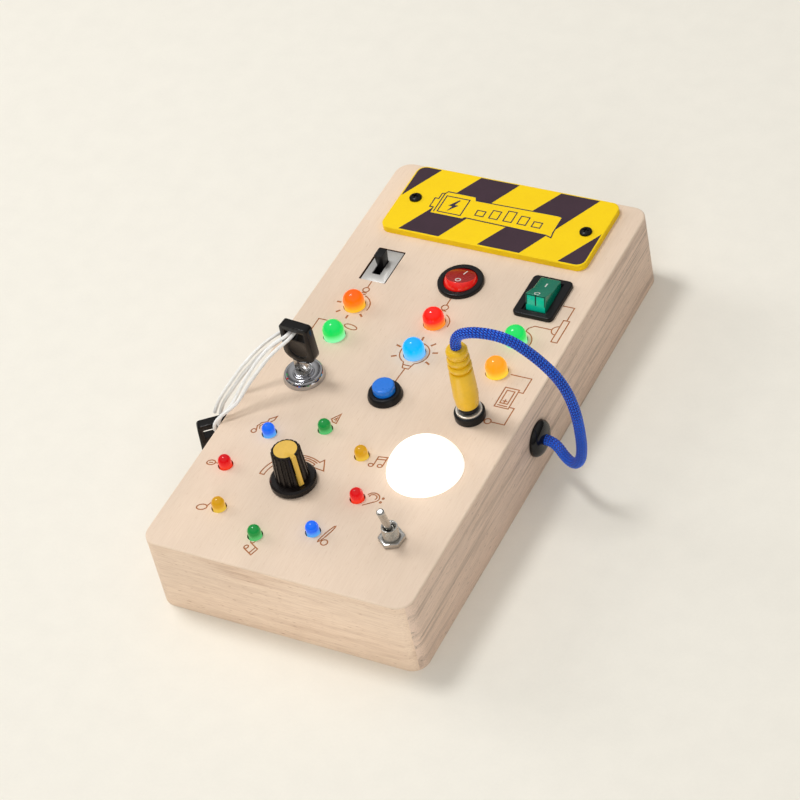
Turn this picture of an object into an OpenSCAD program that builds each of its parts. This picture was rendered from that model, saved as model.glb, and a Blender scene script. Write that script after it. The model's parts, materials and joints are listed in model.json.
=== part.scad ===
// Wooden busy board with working switches, a key lock, a patch lead and lamps.
// Millimetres. The box lies flat on z = 0, its long side runs along y and its front end faces -y.
// A height named rise is measured up from the top of the board, and a drop is measured down from it.

/* [Board] */
// Width of the board, across its short side
board_w = 110; // [108:0.5:116]
// Length of the board
board_l = 217.5; // [214:0.5:226]
// Height of the whole box
board_h = 34.2; // [32:0.1:40]
// Radius of the upright corners
corner_r = 6.3; // [4:0.1:8]
// Thickness of the four side boards
wall_t = 6; // [5:0.1:6.6]
// Thickness of the top panel
panel_t = 3; // [2.5:0.1:3.4]
// Rounding along the top panel's upper edge
panel_edge_r = 0.7; // [0.5:0.1:1.2]
// Thickness of the base panel
base_t = 4; // [3.8:0.1:4.6]
// Side of the square glue blocks in the four corners
block_side = 12; // [10:0.5:13]

/* [Sign] */
// Width of the striped sign
sign_w = 89.2; // [84:0.2:94]
// Depth of the striped sign
sign_l = 38.1; // [34:0.1:40]
// Thickness of the striped sign
sign_t = 2.75; // [2:0.05:3.2]
// Corner radius of the striped sign
sign_r = 4; // [2:0.1:6]
// Distance from the sign's middle to the board's back edge
sign_back = 21.75; // [20.75:0.05:22.75]
// Distance of each sign screw from the middle line
sign_screw_x = 37.4; // [35:0.1:39]

/* [Screws] */
// Diameter of the round screw heads
screw_head_d = 5.1; // [4.6:0.1:5.6]
// Height of the round screw heads
screw_head_h = 1.4; // [1.1:0.1:1.5]
// Diameter of the screw shanks
screw_d = 2.4; // [2:0.1:2.6]
// Length of the screws under the head
screw_l = 8; // [7:0.5:10]

/* [Slide switch] */
// Width of the slide switch's face plate
slide_plate_w = 10.5; // [9.8:0.1:11]
// Length of the slide switch's face plate
slide_plate_l = 18; // [17:0.1:18.6]
// Width of the slot that the lever runs in
slide_slot_w = 3.6; // [3.2:0.1:4]
// Length of the lever along its travel
slide_lever_l = 4; // [3.4:0.1:4.4]
// Travel of the lever
slide_travel = 4; // [3:0.1:5]
// Rise of the lever's top
slide_lever_rise = 5.6; // [4.5:0.1:6.5]

/* [Rocker switches] */
// Radius of the round rocker's bezel
round_bezel_r = 9.2; // [8.9:0.1:10]
// Height of both bezels over the board
bezel_h = 1.8; // [1.6:0.1:2.2]
// Radius of the round rocker's ball-shaped button
round_button_r = 6.75; // [6.3:0.05:6.8]
// Height of the round button's face over its pivot
round_face_h = 3.3; // [3:0.05:3.4]
// Width of the square-cornered bezel
rect_bezel_w = 16.7; // [16:0.1:18]
// Length of the square-cornered bezel
rect_bezel_l = 22; // [21.6:0.1:24]
// Width of the green rocker
rect_rocker_w = 8.4; // [8:0.1:8.8]
// Length of the green rocker at its top
rect_rocker_l = 14; // [13.4:0.1:14.4]
// Height of the green rocker's ends over its pivot
rect_rocker_h = 6.15; // [5.9:0.05:6.4]
// Angle between either rocker's two positions
rocker_throw = 32; // [28:1:34]

/* [Push button] */
// Radius of the push button's collar at the board
push_collar_r = 6.8; // [6.3:0.1:7.4]
// Height of the push button's collar
push_collar_h = 3; // [2.4:0.1:3.4]
// Radius of the push button's cap
push_cap_r = 4.3; // [3.8:0.1:4.4]
// Rise of the push button's cap
push_cap_rise = 6; // [5.8:0.1:7]
// Travel of the push button
push_travel = 2.4; // [1.6:0.1:2.6]

/* [Key lock and keys] */
// Radius of the lock's flange
lock_flange_r = 8.2; // [7.8:0.1:9]
// Height of the lock's raised rim
lock_rim_h = 2.8; // [2.2:0.1:3.2]
// Radius of the lock's body
lock_body_r = 5.8; // [5.4:0.1:6.2]
// Radius of the turning core
lock_core_r = 3.5; // [3.3:0.1:4]
// Width of a key's head
key_head_w = 13.6; // [12.6:0.1:14]
// Height of a key's head
key_head_h = 18.3; // [17.6:0.1:18.8]
// Thickness of a key's head
key_head_t = 3.9; // [3.4:0.1:4.1]
// Width of a key's blade
key_blade_w = 5.6; // [5:0.1:5.8]
// Thickness of a key's blade
key_blade_t = 2; // [1.6:0.1:2.2]
// Length of a key's blade under the head
key_blade_l = 10.9; // [10:0.1:11.2]
// Diameter of the string that ties the two keys together
string_d = 1.5; // [1.3:0.1:1.6]

/* [Knob] */
// Radius of the knob's skirt
knob_skirt_r = 8.8; // [8.2:0.1:9.6]
// Rise of the knob's top
knob_rise = 17.4; // [16.6:0.1:19]
// Radius of the knob's grip at its foot
knob_grip_r = 6.4; // [6.2:0.1:7]
// Radius of the coloured disc in the knob's top
knob_disc_r = 4.4; // [3.8:0.1:4.6]
// Radius of the rotary switch's shaft
shaft_r = 3; // [2.6:0.1:3.1]

/* [Toggle switch] */
// Radius of the toggle's threaded bushing
toggle_bush_r = 3.1; // [2.9:0.1:3.4]
// Rise of the toggle's threaded bushing
toggle_bush_rise = 7.1; // [6.6:0.1:7.6]
// Length of the toggle's lever from its pivot
toggle_lever_l = 13.6; // [12:0.1:14.4]
// Distance of the toggle from the board's front edge
toggle_front = 29.05; // [27:0.05:31]
// Angle between the toggle's two positions
toggle_throw = 26.6; // [20:0.2:28]

/* [Jack and lead] */
// Radius of the jack's collar
jack_collar_r = 5.9; // [5.4:0.1:6.6]
// Height of the jack's collar
jack_collar_h = 3.4; // [2.8:0.1:3.6]
// Radius of the plug's contact pin
plug_pin_r = 1.75; // [1.5:0.05:1.9]
// Length of the plug's contact pin
plug_pin_l = 14; // [12:0.5:15]
// Radius of the plug's handle at its widest
plug_r = 4.8; // [4.3:0.1:5.2]
// Diameter of the braided lead
lead_d = 4; // [3.6:0.1:4]
// Radius of the grommet's dome in the side board
grommet_r = 7.3; // [6.4:0.1:8]
// Height of the grommet's dome
grommet_h = 3.5; // [2.5:0.1:4]

/* [Lamps] */
// Diameter of the six large lamps
big_lamp_d = 8.4; // [8:0.1:9]
// Rise of the straight part of the large lamps
big_lamp_rise = 2.9; // [2:0.1:3.6]
// Diameter of the eight small lamps
small_lamp_d = 5; // [4.6:0.1:5.2]
// Rise of the straight part of the small lamps
small_lamp_rise = 2.3; // [1.6:0.1:3]
// Distance from the ring's outermost lamp to the board's left edge
ring_edge = 12.75; // [12.4:0.05:13.5]
// Diameter of the lamps' wire legs
leg_d = 0.6; // [0.4:0.1:0.8]
// Radius of the white lamp's dome where it meets the board
dome_r = 14.5; // [13.5:0.1:15]
// Rise of the white lamp's dome
dome_rise = 12; // [10:0.1:13]
// Wall of the white lamp's dome
dome_t = 1.2; // [0.9:0.1:1.6]

/* [Electrics] */
// Drop of the circuit board's upper face
pcb_drop = 9; // [8.6:0.1:9.6]
// Gap between the circuit board's front edge and the front board
pcb_front_gap = 4.75; // [4:0.05:6]
// Thickness of the circuit board
pcb_t = 1.6; // [1:0.1:1.8]
// Diameter of the three battery cells
cell_d = 10.5; // [10:0.1:10.8]
// Length of the three battery cells
cell_l = 44.5; // [43:0.1:45]
// Wall of the battery holder
holder_t = 1.2; // [1:0.1:1.5]
// Thickness of the battery hatch
hatch_t = 2.6; // [2.4:0.1:2.8]

/* [Hidden] */
$fn = 48;
eps = 0.01;
// Clearance of a piece that sits fast in its hole, and of one that turns or slides in it
seat = 0.05;
run = 0.05;
// Gap around a piece that is let into a larger cut-out, and around moving buttons
loose = 0.3;

top_z = board_h;
under_z = board_h - panel_t;
inner_w = board_w - 2 * wall_t;
inner_l = board_l - 2 * wall_t;
block_x = inner_w / 2 - block_side / 2;
block_y = inner_l / 2 - block_side / 2;
pcb_top_z = top_z - pcb_drop;
screw_recess = screw_head_h + 0.2;

// Places on the board, as [x, y], drawn on a plan of this size that stretches with the board
plan_w = 110;
plan_l = 217.5;
function place(x, y) = [x * board_w / plan_w, y * board_l / plan_l];
slide_at = place(-34.3, 49.7);
slide_lever_x = -0.5;
slide_rest_back = 3.2;
round_at = place(0.5, 49.3);
rect_at = place(35.65, 49.6);
lock_at = place(-35.4, -14.7);
push_at = place(-0.3, -15.2);
jack_at = place(35.3, -15.3);
ring_at = place(-14.45, -65.45);
ring_r = board_w / 2 + ring_at[0] - ring_edge;
knob_at = place(-13, -65.4);
toggle_at = [place(34.8, 0)[0], toggle_front - board_l / 2];
lamp_rows = [place(0, 26.1)[1], place(0, 8.7)[1]];
lamp_columns = [place(-34.6, 0)[0], place(0.2, 0)[0], place(35, 0)[0]];

// The white lamp keeps its gap to the right side board
dome_flange = 1.5;
dome_gap = 2.2;
dome_at = [inner_w / 2 - dome_r - dome_flange - dome_gap, place(0, -44.6)[1]];

// The lead leaves through the right side board, halfway up
grommet_at = [place(0, -3.7)[1], board_h / 2];

sign_y = board_l / 2 - sign_back;

// The hatch keeps a strip of the base panel between it and the back board
hatch_w = cell_l + 14;
hatch_l = 3 * cell_d + 9;
hatch_lip = 2;
hatch_edge = 1.5;
battery_at = [0, inner_l / 2 - hatch_edge - hatch_l / 2];

// Rockers
rocker_pivot_rise = -0.1;
rect_pivot_rise = -0.5;
rocker_pin_r = 1.2;
round_open_r = round_button_r + 0.15;
round_neck_r = round_bezel_r - 1;
round_button_foot = 3.2;
round_depth = 12;
round_box = 12;
rect_neck_w = rect_bezel_w - 3.3;
rect_neck_l = rect_bezel_l - 2.6;
rect_open_w = rect_rocker_w + 2 * loose;
rect_open_l = rect_rocker_l + 2.6;
rect_depth = 11;
rocker_foot = 4;

// Push button
push_body_r = 5;
push_bore_r = push_cap_r + run;
push_depth = 14;
push_floor_drop = 12.4;
push_skirt_drop = 5;
push_stem_r = 1.5;
spring_r = 3.2;

// Lock
lock_depth = 14;
lock_core_rise = 3.4;
lock_core_depth = 12;
key_turn = -4;
key_head_shift = 1.7;
key_foot_rise = 9.3;
key_slot_w = 8.6;
key_slot_h = 4;
key_bar_h = 2.5;
key_tang_w = 4;
key_tang_h = 4;
spare_gap = 6.8;
spare_at = [-board_w / 2 - spare_gap, place(0, -43)[1]];
spare_turn = 38;
spare_top_z = board_h - 4.4;
nut_t = 2.5;

// Knob and rotary switch
knob_foot_rise = 0.5;
knob_skirt_rise = 3.1;
knob_skirt_edge = 0.7;
rotary_bush_r = 3.6;
rotary_bush_rise = 2.6;
rotary_nut_h = 2;
rotary_body_r = 8.2;
rotary_depth = 8;
shaft_rise = knob_rise - 4;
knob_recess_rise = 2.9;
knob_recess_r = 6;
flute_r = 0.65;
pointer_turn = -29;
pointer_w = 1.8;
pointer_foot_rise = 3.4;

// Toggle
toggle_pivot_rise = 5;
toggle_ball_r = 2;
toggle_bore_r = toggle_ball_r + run;
toggle_nut_h = 2;
toggle_nut_r = 5.1;
toggle_body = [8, 13, 9];

// Jack and plug
jack_body_r = 4.6;
jack_thread_r = 3.9;
jack_depth = 15;
jack_ring_r = jack_collar_r - 0.9;
jack_ring_h = 1.8;
jack_face_rise = jack_collar_h + 0.8;
plug_foot_rise = 6.4;
plug_top_rise = 35.4;
plug_collar_r = 3.9;
grommet_neck_r = 4;
grommet_flange_r = 6;
grommet_flange_t = 1.5;

// Route of the lead: out of the grommet's bore, over in one arch, down into the plug.
// Its ends stay in the bore and in the plug, and the points between share their shifts.
lead_tail = 9;
lead_route = [
    [46, -3.7, 17.1], [54, -3.7, 17.1], [60, -3.8, 17.1], [63.4, -4.9, 16.6],
    [66.8, -7, 15.4], [70.4, -9.3, 15.2], [73.9, -11.3, 17], [76.5, -12.3, 20.4],
    [78, -12.6, 25.2], [78.4, -12.2, 30.2], [78.2, -11.6, 35], [77.8, -11.1, 40],
    [77, -10.6, 45], [75.8, -10.2, 50], [74.1, -10, 54.8], [71.9, -10.1, 59.4],
    [69.1, -10.5, 63.8], [65.8, -11, 68], [62, -11.6, 72], [58, -12.3, 75.4],
    [53.4, -13.4, 78.1], [49, -14.5, 79.4], [44.8, -15.4, 79.7], [40.7, -15.7, 78.6],
    [38.3, -15.6, 77.1], [35.9, -15.4, 73.7], [35.3, -15.3, 70.6], [35.3, -15.3, 69.6]
];
lead_last = len(lead_route) - 1;
bore_shift = [board_w / 2 - lead_tail, grommet_at[0], grommet_at[1]] - lead_route[0];
plug_shift = [jack_at[0], jack_at[1], top_z + plug_top_rise] - lead_route[lead_last];
lead_points = [for (i = [0 : lead_last]) let (t = min(1, max(0, (i - 2) / (lead_last - 3))))
    lead_route[i] + (1 - t) * bore_shift + t * plug_shift];

// Route of the string: two laps between the two keys, each through both slots.
// Its upper part keeps to the key in the lock, and its lower part to the spare key, from
// where they stood when it was drawn.
string_route = [
    [-63.6, -38.2, 28.8], [-61.9, -35.9, 33.4], [-58.5, -31.4, 38.9], [-54.7, -26.7, 44.2],
    [-50.4, -21.4, 48.8], [-46.2, -16.2, 51.8], [-42.3, -11.6, 53.6], [-39.5, -10.1, 55.9],
    [-36.9, -11.9, 57.3], [-36.3, -15.2, 57.6], [-37.1, -17.9, 57.4], [-39.2, -20, 56.6],
    [-42, -23, 54.9], [-45.4, -27.1, 51.2], [-48.9, -32.5, 45.9], [-51.4, -37.5, 40.8],
    [-53.3, -41.4, 37.4], [-56.2, -44.4, 34.4], [-57.1, -45.2, 30.2], [-57.3, -43.9, 27.2],
    [-58.5, -42.1, 25.7], [-60.1, -40, 25.7], [-61.2, -38.2, 27.4], [-60.9, -36.2, 30.8],
    [-58.4, -32.9, 35.4], [-55.1, -28.8, 40.2], [-51, -23.7, 45], [-46.6, -18.2, 48.6],
    [-42.5, -12.9, 50.6], [-39.8, -9.4, 53.2], [-37, -8.6, 55.4], [-35, -10.9, 57.2],
    [-34.5, -14.9, 57.6], [-35, -18.3, 57.4], [-37, -21.6, 56.2], [-40.1, -25.3, 53.8],
    [-44, -30.2, 49.1], [-47.5, -35.2, 44.1], [-50.4, -40.2, 39.5], [-53.6, -44.2, 37.4],
    [-56.6, -47, 34.6], [-58.1, -47, 30.8], [-59, -45.5, 27.6], [-60, -43.4, 25.9],
    [-61.6, -41.2, 25.4], [-62.8, -39.6, 25.6], [-63.5, -38.7, 26.1]
];
string_low_z = 34;
string_high_z = 54;
drawn_lock = [-35.4, -14.7, 34.2];
drawn_spare = [-61.8, -43, 34.2];
key_shift = [lock_at[0], lock_at[1], board_h] - drawn_lock;
spare_shift = [spare_at[0], spare_at[1], board_h] - drawn_spare;
string_points = [for (p = string_route)
    let (t = min(1, max(0, (p[2] - string_low_z) / (string_high_z - string_low_z))))
        p + t * key_shift + (1 - t) * spare_shift];

// Colours
wood = [0.92, 0.83, 0.74];
black = [0.1, 0.1, 0.1];
chrome = [0.8, 0.8, 0.82];

// Points of an arc in the plane, from angle a to angle b
function arc(c, r, a, b, n = 8) =
    [for (i = [0 : n]) let (t = a + (b - a) * i / n) c + r * [cos(t), sin(t)]];

// A rectangle with round corners, and a plate of it that stands on z = 0
module round_rect(w, l, r) {
    square([w - 2 * r, l], center = true);
    square([w, l - 2 * r], center = true);
    for (x = [-1, 1], y = [-1, 1])
        translate([x * (w / 2 - r), y * (l / 2 - r)]) circle(r);
}

// A plate whose upper edge is rounded all the way round
module eased_plate(w, l, t, r, edge) {
    hull() {
        linear_extrude(t - edge) round_rect(w, l, r, $fn = 32);
        for (a = [15 : 15 : 90]) {
            inset = edge * (1 - cos(a));
            translate([0, 0, t - edge])
                linear_extrude(edge * sin(a))
                    round_rect(w - 2 * inset, l - 2 * inset, r - inset, $fn = 32);
        }
    }
}

// A box centred on x and y that reaches from z = a to z = b
module block(w, l, a, b) {
    translate([-w / 2, -l / 2, a]) cube([w, l, b - a]);
}

// A cylinder that reaches from z = a to z = b
module rod(r, a, b) {
    translate([0, 0, a]) cylinder(r = r, h = b - a);
}

// A six-sided nut with a round hole, standing on z = 0
module hex_nut(r, hole_r, h) {
    difference() {
        cylinder(r = r, h = h, $fn = 6);
        rod(hole_r, -1, h + 1);
    }
}

// Moves a piece to a place on the board, with z = 0 at the board's top
module on_board(at) {
    translate([at[0], at[1], top_z]) children();
}

// Steps of a tube that is swept along points
function unit(v) = v / norm(v);
function heading(p, i) = unit(p[min(i + 1, len(p) - 1)] - p[max(i - 1, 0)]);
function carried(v, d) = unit(v - (v * d) * d);
function sides(p, i, first) =
    i == 0 ? [carried(first, heading(p, 0))]
    : let (before = sides(p, i - 1, first)) concat(before, [carried(before[i - 1], heading(p, i))]);

// A closed tube of diameter d with n sides along the points p
module tube(p, d, n, first) {
    side = sides(p, len(p) - 1, first);
    rings = [for (i = [0 : len(p) - 1]) let (s = side[i], t = cross(heading(p, i), s))
        for (k = [0 : n - 1]) p[i] + d / 2 * (cos(360 * k / n) * s + sin(360 * k / n) * t)];
    last = n * (len(p) - 1);
    polyhedron(rings, concat(
        [[for (k = [n - 1 : -1 : 0]) k]],
        [for (i = [0 : len(p) - 2], k = [0 : n - 1]) let (a = i * n + k, b = i * n + (k + 1) % n)
            [a, b, b + n, a + n]],
        [[for (k = [0 : n - 1]) last + k]]
    ));
}

// The four side boards, mitred at the corners
module wall_frame() {
    difference() {
        linear_extrude(under_z) round_rect(board_w, board_l, corner_r);
        block(inner_w, inner_l, -1, board_h);
    }
}

// The wedge of the plan that belongs to one end board
module end_wedge(sign) {
    reach = wall_t + 2;
    far = 1;
    x = board_w / 2;
    y = board_l / 2;
    linear_extrude(board_h) polygon([
        [-x - far, sign * (y + far)], [x + far, sign * (y + far)],
        [x - reach, sign * (y - reach)], [-x + reach, sign * (y - reach)]
    ]);
}

module wall_end(sign) {
    intersection() {
        wall_frame();
        end_wedge(sign);
    }
}

module wall_side(sign) {
    difference() {
        wall_frame();
        end_wedge(1);
        end_wedge(-1);
        translate([-sign * board_w / 2, 0, 0]) block(board_w, board_l, -1, board_h);
    }
}

module wall_front() {
    color(wood) wall_end(-1);
}

module wall_back() {
    color(wood) wall_end(1);
}

module wall_left() {
    color(wood) wall_side(-1);
}

module wall_right() {
    color(wood) difference() {
        wall_side(1);
        along_grommet() rod(grommet_neck_r + seat, -wall_t - 1, 1);
    }
}

// Blocks in the corners, which carry the top panel and take the base screws
module corner_blocks() {
    color(wood) for (x = [-1, 1], y = [-1, 1])
        translate([x * block_x, y * block_y, 0]) difference() {
            block(block_side - 2 * seat, block_side - 2 * seat, base_t, under_z);
            rod(screw_d / 2 + seat, base_t - 1, screw_recess + screw_l + 1);
        }
}

module top_panel() {
    color(wood) difference() {
        translate([0, 0, under_z]) eased_plate(board_w, board_l, panel_t, corner_r, panel_edge_r);
        on_board(slide_at) block(slide_plate_w + 2 * 0.6, slide_plate_l + 2 * 0.3, -panel_t - 1, 1);
        on_board(round_at) rod(round_neck_r + seat, -panel_t - 1, 1);
        on_board(rect_at) block(rect_neck_w + 2 * seat, rect_neck_l + 2 * seat, -panel_t - 1, 1);
        on_board(lock_at) rod(lock_body_r + seat, -panel_t - 1, 1);
        on_board(push_at) rod(push_body_r + seat, -panel_t - 1, 1);
        on_board(jack_at) rod(jack_thread_r + seat, -panel_t - 1, 1);
        on_board(dome_at) rod(dome_r + seat, -panel_t - 1, 1);
        on_board(knob_at) rod(rotary_bush_r + seat, -panel_t - 1, 1);
        on_board(toggle_at) rod(toggle_bush_r + seat, -panel_t - 1, 1);
        for (x = lamp_columns, y = lamp_rows)
            on_board([x, y]) rod(big_lamp_d / 2 + 0.25, -panel_t - 1, 1);
        for (i = [0 : 7])
            on_board(ring_place(i)) rod(small_lamp_d / 2 + 0.45, -panel_t - 1, 1);
        for (x = [-1, 1])
            on_board([x * sign_screw_x, sign_y]) rod(screw_d / 2 + seat, -panel_t - 1, 1);
    }
}

// The battery hatch: a plate with an ear for its screw
ear_w = 12;
ear_l = 10;
ear_y = -hatch_l / 2 - ear_l / 2;

module hatch_outline(grow) {
    translate([battery_at[0], battery_at[1]]) {
        square([hatch_w + 2 * grow, hatch_l + 2 * grow], center = true);
        translate([0, ear_y + 1]) square([ear_w + 2 * grow, ear_l + 2 + 2 * grow], center = true);
    }
}

module at_hatch_screw() {
    translate([battery_at[0], battery_at[1] + ear_y, 0]) children();
}

module base_panel() {
    color(wood) difference() {
        linear_extrude(base_t) square([inner_w - 2 * seat, inner_l - 2 * seat], center = true);
        translate([0, 0, -1]) linear_extrude(1 + hatch_t) hatch_outline(loose);
        translate(battery_at) block(hatch_w - 2 * hatch_lip, hatch_l - 2 * hatch_lip, -1, base_t + 1);
        at_hatch_screw() rod(screw_d / 2 + seat, -1, base_t + 1);
        for (x = [-1, 1], y = [-1, 1])
            translate([x * block_x, y * block_y, 0]) {
                rod(screw_d / 2 + seat, -1, base_t + 1);
                rod(screw_head_d / 2 + loose, -1, screw_recess);
            }
    }
}

module battery_hatch() {
    color(black) difference() {
        linear_extrude(hatch_t) hatch_outline(0);
        at_hatch_screw() rod(screw_d / 2 + seat, -1, hatch_t + 1);
        at_hatch_screw() rod(screw_head_d / 2 + loose, -1, screw_recess);
    }
}

// A round-headed cross-recess screw, head up, with z = 0 under the head
module wood_screw() {
    cross_w = 0.6;
    cross_l = 2.8;
    difference() {
        union() {
            rod(screw_d / 2, 1 - screw_l, 0);
            translate([0, 0, -screw_l]) cylinder(r1 = 0.2, r2 = screw_d / 2, h = 1);
            rotate_extrude() polygon(concat(
                [[0, 0], [screw_head_d / 2, 0], [screw_head_d / 2, 0.25 * screw_head_h]],
                [for (a = [15 : 15 : 75])
                    [screw_head_d / 2 * cos(a), screw_head_h * (0.25 + 0.75 * sin(a))]],
                [[0, screw_head_h]]
            ));
        }
        for (turn = [0, 90])
            rotate(turn) block(cross_l, cross_w, 0.5 * screw_head_h, screw_head_h + 1);
    }
}

module wood_screws() {
    color(black) {
        for (x = [-1, 1])
            on_board([x * sign_screw_x, sign_y]) translate([0, 0, sign_t]) wood_screw();
        for (x = [-1, 1], y = [-1, 1])
            translate([x * block_x, y * block_y, screw_recess]) mirror([0, 0, 1]) wood_screw();
        at_hatch_screw() translate([0, 0, screw_recess]) mirror([0, 0, 1]) wood_screw();
    }
}

module sign_plate() {
    color([1, 0.84, 0.16]) difference() {
        on_board([0, sign_y]) eased_plate(sign_w, sign_l, sign_t, sign_r, 0.4);
        for (x = [-1, 1])
            on_board([x * sign_screw_x, sign_y]) rod(screw_d / 2 + seat, -1, sign_t + 1);
    }
}

// Slide switch: a plate with a slot over a box, let into the board
slide_plate_t = 0.8;
slide_plate_rise = -0.3;
slide_slot_l = slide_lever_l + slide_travel + 2 * loose;
slide_slot_y = slide_rest_back - slide_travel / 2 - slide_lever_l / 2 + 0.2;
slide_lever_y = slide_slot_y + slide_travel / 2;
slide_body_drop = 9;
slide_foot_drop = 4;

module slide_slot(a, b) {
    translate([slide_lever_x, slide_slot_y, 0]) block(slide_slot_w, slide_slot_l, a, b);
}

module slide_switch_plate() {
    color(chrome) on_board(slide_at) difference() {
        block(slide_plate_w, slide_plate_l, slide_plate_rise - slide_plate_t, slide_plate_rise);
        slide_slot(-2, 1);
    }
}

module slide_switch_body() {
    color(black) on_board(slide_at) difference() {
        block(slide_plate_w - 2, slide_plate_l - 2, -slide_body_drop, slide_plate_rise - slide_plate_t);
        slide_slot(-slide_foot_drop - loose, 1);
    }
}

module slide_switch_lever() {
    lean = 0.6;
    w = slide_slot_w - 2 * loose;
    color(black) on_board(slide_at) translate([slide_lever_x, slide_lever_y, 0]) {
        block(w, slide_lever_l, -slide_foot_drop, 0);
        hull() {
            block(w, slide_lever_l, 0, 0.1);
            block(w + lean, slide_lever_l + lean, slide_lever_rise - 0.1, slide_lever_rise);
        }
    }
}

// Round rocker: a bezel on a barrel, and a ball-shaped button on two pins
module round_rocker_housing() {
    edge = 0.8;
    color(black) on_board(round_at) difference() {
        union() {
            rotate_extrude() polygon(concat(
                [[0, 0], [round_bezel_r, 0], [round_bezel_r, bezel_h - edge]],
                arc([round_bezel_r - edge, bezel_h - edge], edge, 15, 90, 5),
                [[0, bezel_h]]
            ));
            rod(round_neck_r, -panel_t, eps);
            block(round_box, round_box, -round_depth, -panel_t + eps);
        }
        rod(round_open_r, rocker_pivot_rise - 0.5, bezel_h + 1);
        translate([0, 0, rocker_pivot_rise]) sphere(round_open_r);
        block(5, 7, -round_depth + 1.5, -4);
        translate([0, 0, rocker_pivot_rise]) rotate([0, 90, 0])
            rod(rocker_pin_r + run, -round_neck_r + 0.6, round_neck_r - 0.6);
    }
}

module round_rocker_button() {
    pin_end = round_neck_r - 0.8;
    color([0.85, 0.1, 0.08]) on_board(round_at) translate([0, 0, rocker_pivot_rise])
        rotate([-rocker_throw / 2, 0, 0]) {
            intersection() {
                sphere(round_button_r);
                block(3 * round_button_r, 3 * round_button_r, -round_button_foot, round_face_h);
            }
            rotate([0, 90, 0]) rod(rocker_pin_r, -pin_end, pin_end);
            rod(rocker_pin_r, -6, -round_button_foot + eps);
        }
}

// Green rocker: a bezel on a box, and a rocker with a hollowed face on two pins
module rect_rocker_housing() {
    step = 0.8;
    color(black) on_board(rect_at) difference() {
        union() {
            eased_plate(rect_bezel_w, rect_bezel_l, bezel_h, 2, 0.6);
            block(rect_neck_w, rect_neck_l, -rect_depth, eps);
        }
        block(rect_open_w, rect_open_l, -rect_depth + 1.5, bezel_h + 1);
        block(rect_open_w + 2 * step, rect_open_l + 0.6, bezel_h - step, bezel_h + 1);
        translate([0, 0, rect_pivot_rise]) rotate([0, 90, 0])
            rod(rocker_pin_r + run, -rect_neck_w / 2 + 0.6, rect_neck_w / 2 - 0.6);
    }
}

module rect_rocker_button() {
    a = rect_rocker_l / 2;
    h = rect_rocker_h;
    pin_end = rect_neck_w / 2 - 0.8;
    color([0, 0.6, 0.45]) on_board(rect_at) translate([0, 0, rect_pivot_rise])
        rotate([-rocker_throw / 2, 0, 0]) {
            rotate([90, 0, 90]) linear_extrude(rect_rocker_w, center = true)
                polygon([
                    [-a, h], [0, h - 1.1], [a, h], [a + 0.1, -1],
                    [0.7 * a, -rocker_foot], [-0.7 * a, -rocker_foot], [-a - 0.1, -1]
                ]);
            rotate([0, 90, 0]) rod(rocker_pin_r, -pin_end, pin_end);
        }
}

// Push button: a threaded housing with a collar, a cap on a stem, a spring under it and a nut
module push_button_housing() {
    color(black) on_board(push_at) difference() {
        union() {
            rotate_extrude() polygon([
                [0, 0], [push_collar_r, 0], [push_collar_r, 0.8],
                [push_collar_r - 0.5, push_collar_h - 0.5], [push_collar_r - 0.9, push_collar_h],
                [0, push_collar_h]
            ]);
            rod(push_body_r, -push_depth, eps);
        }
        rod(push_bore_r, -push_floor_drop, push_collar_h + 1);
    }
}

module push_button_cap() {
    edge = 0.7;
    color([0.1, 0.45, 0.85]) on_board(push_at) {
        rotate_extrude() polygon(concat(
            [[0, -push_skirt_drop], [push_cap_r, -push_skirt_drop], [push_cap_r, push_cap_rise - edge]],
            arc([push_cap_r - edge, push_cap_rise - edge], edge, 15, 90, 5),
            [[0, push_cap_rise]]
        ));
        rod(push_stem_r, push_travel - push_floor_drop + 0.4, -push_skirt_drop);
    }
}

// The return spring is hidden, so it is a plain sleeve of its size
module push_button_spring() {
    color(chrome) on_board(push_at) difference() {
        rod(spring_r, -push_floor_drop, -push_skirt_drop);
        rod(spring_r - 0.8, -push_floor_drop - 1, 0);
    }
}

module push_button_nut() {
    color(chrome) on_board(push_at) translate([0, 0, -panel_t - nut_t])
        hex_nut(push_body_r + 2.4, push_body_r + seat, nut_t);
}

// Key lock: a chromed barrel with a raised rim, a nut, and a core with a keyway
module key_lock_barrel() {
    rim_r = lock_flange_r - 1;
    color(chrome) on_board(lock_at) difference() {
        union() {
            rotate_extrude() polygon([
                [0, 0], [lock_flange_r, 0], [lock_flange_r, 0.5], [rim_r + 0.4, lock_rim_h - 0.5],
                [rim_r, lock_rim_h], [rim_r - 0.7, lock_rim_h], [rim_r - 1.4, lock_rim_h - 0.9],
                [lock_core_r + 0.6, lock_rim_h - 1.2], [lock_core_r + 0.3, lock_rim_h - 0.2],
                [0, lock_rim_h - 0.2]
            ]);
            rod(lock_body_r, -lock_depth, eps);
        }
        rod(lock_core_r + run, -lock_core_depth, lock_rim_h + 1);
    }
}

module key_lock_nut() {
    color(chrome) on_board(lock_at) translate([0, 0, -panel_t - nut_t])
        hex_nut(lock_body_r + 2.6, lock_body_r + seat, nut_t);
}

module key_lock_core() {
    color(chrome) on_board(lock_at) rotate(key_turn) difference() {
        rod(lock_core_r, -lock_core_depth, lock_core_rise);
        block(key_blade_w + 2 * seat, key_blade_t + 2 * seat, key_foot_rise - key_blade_l, 10);
    }
}

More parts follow.
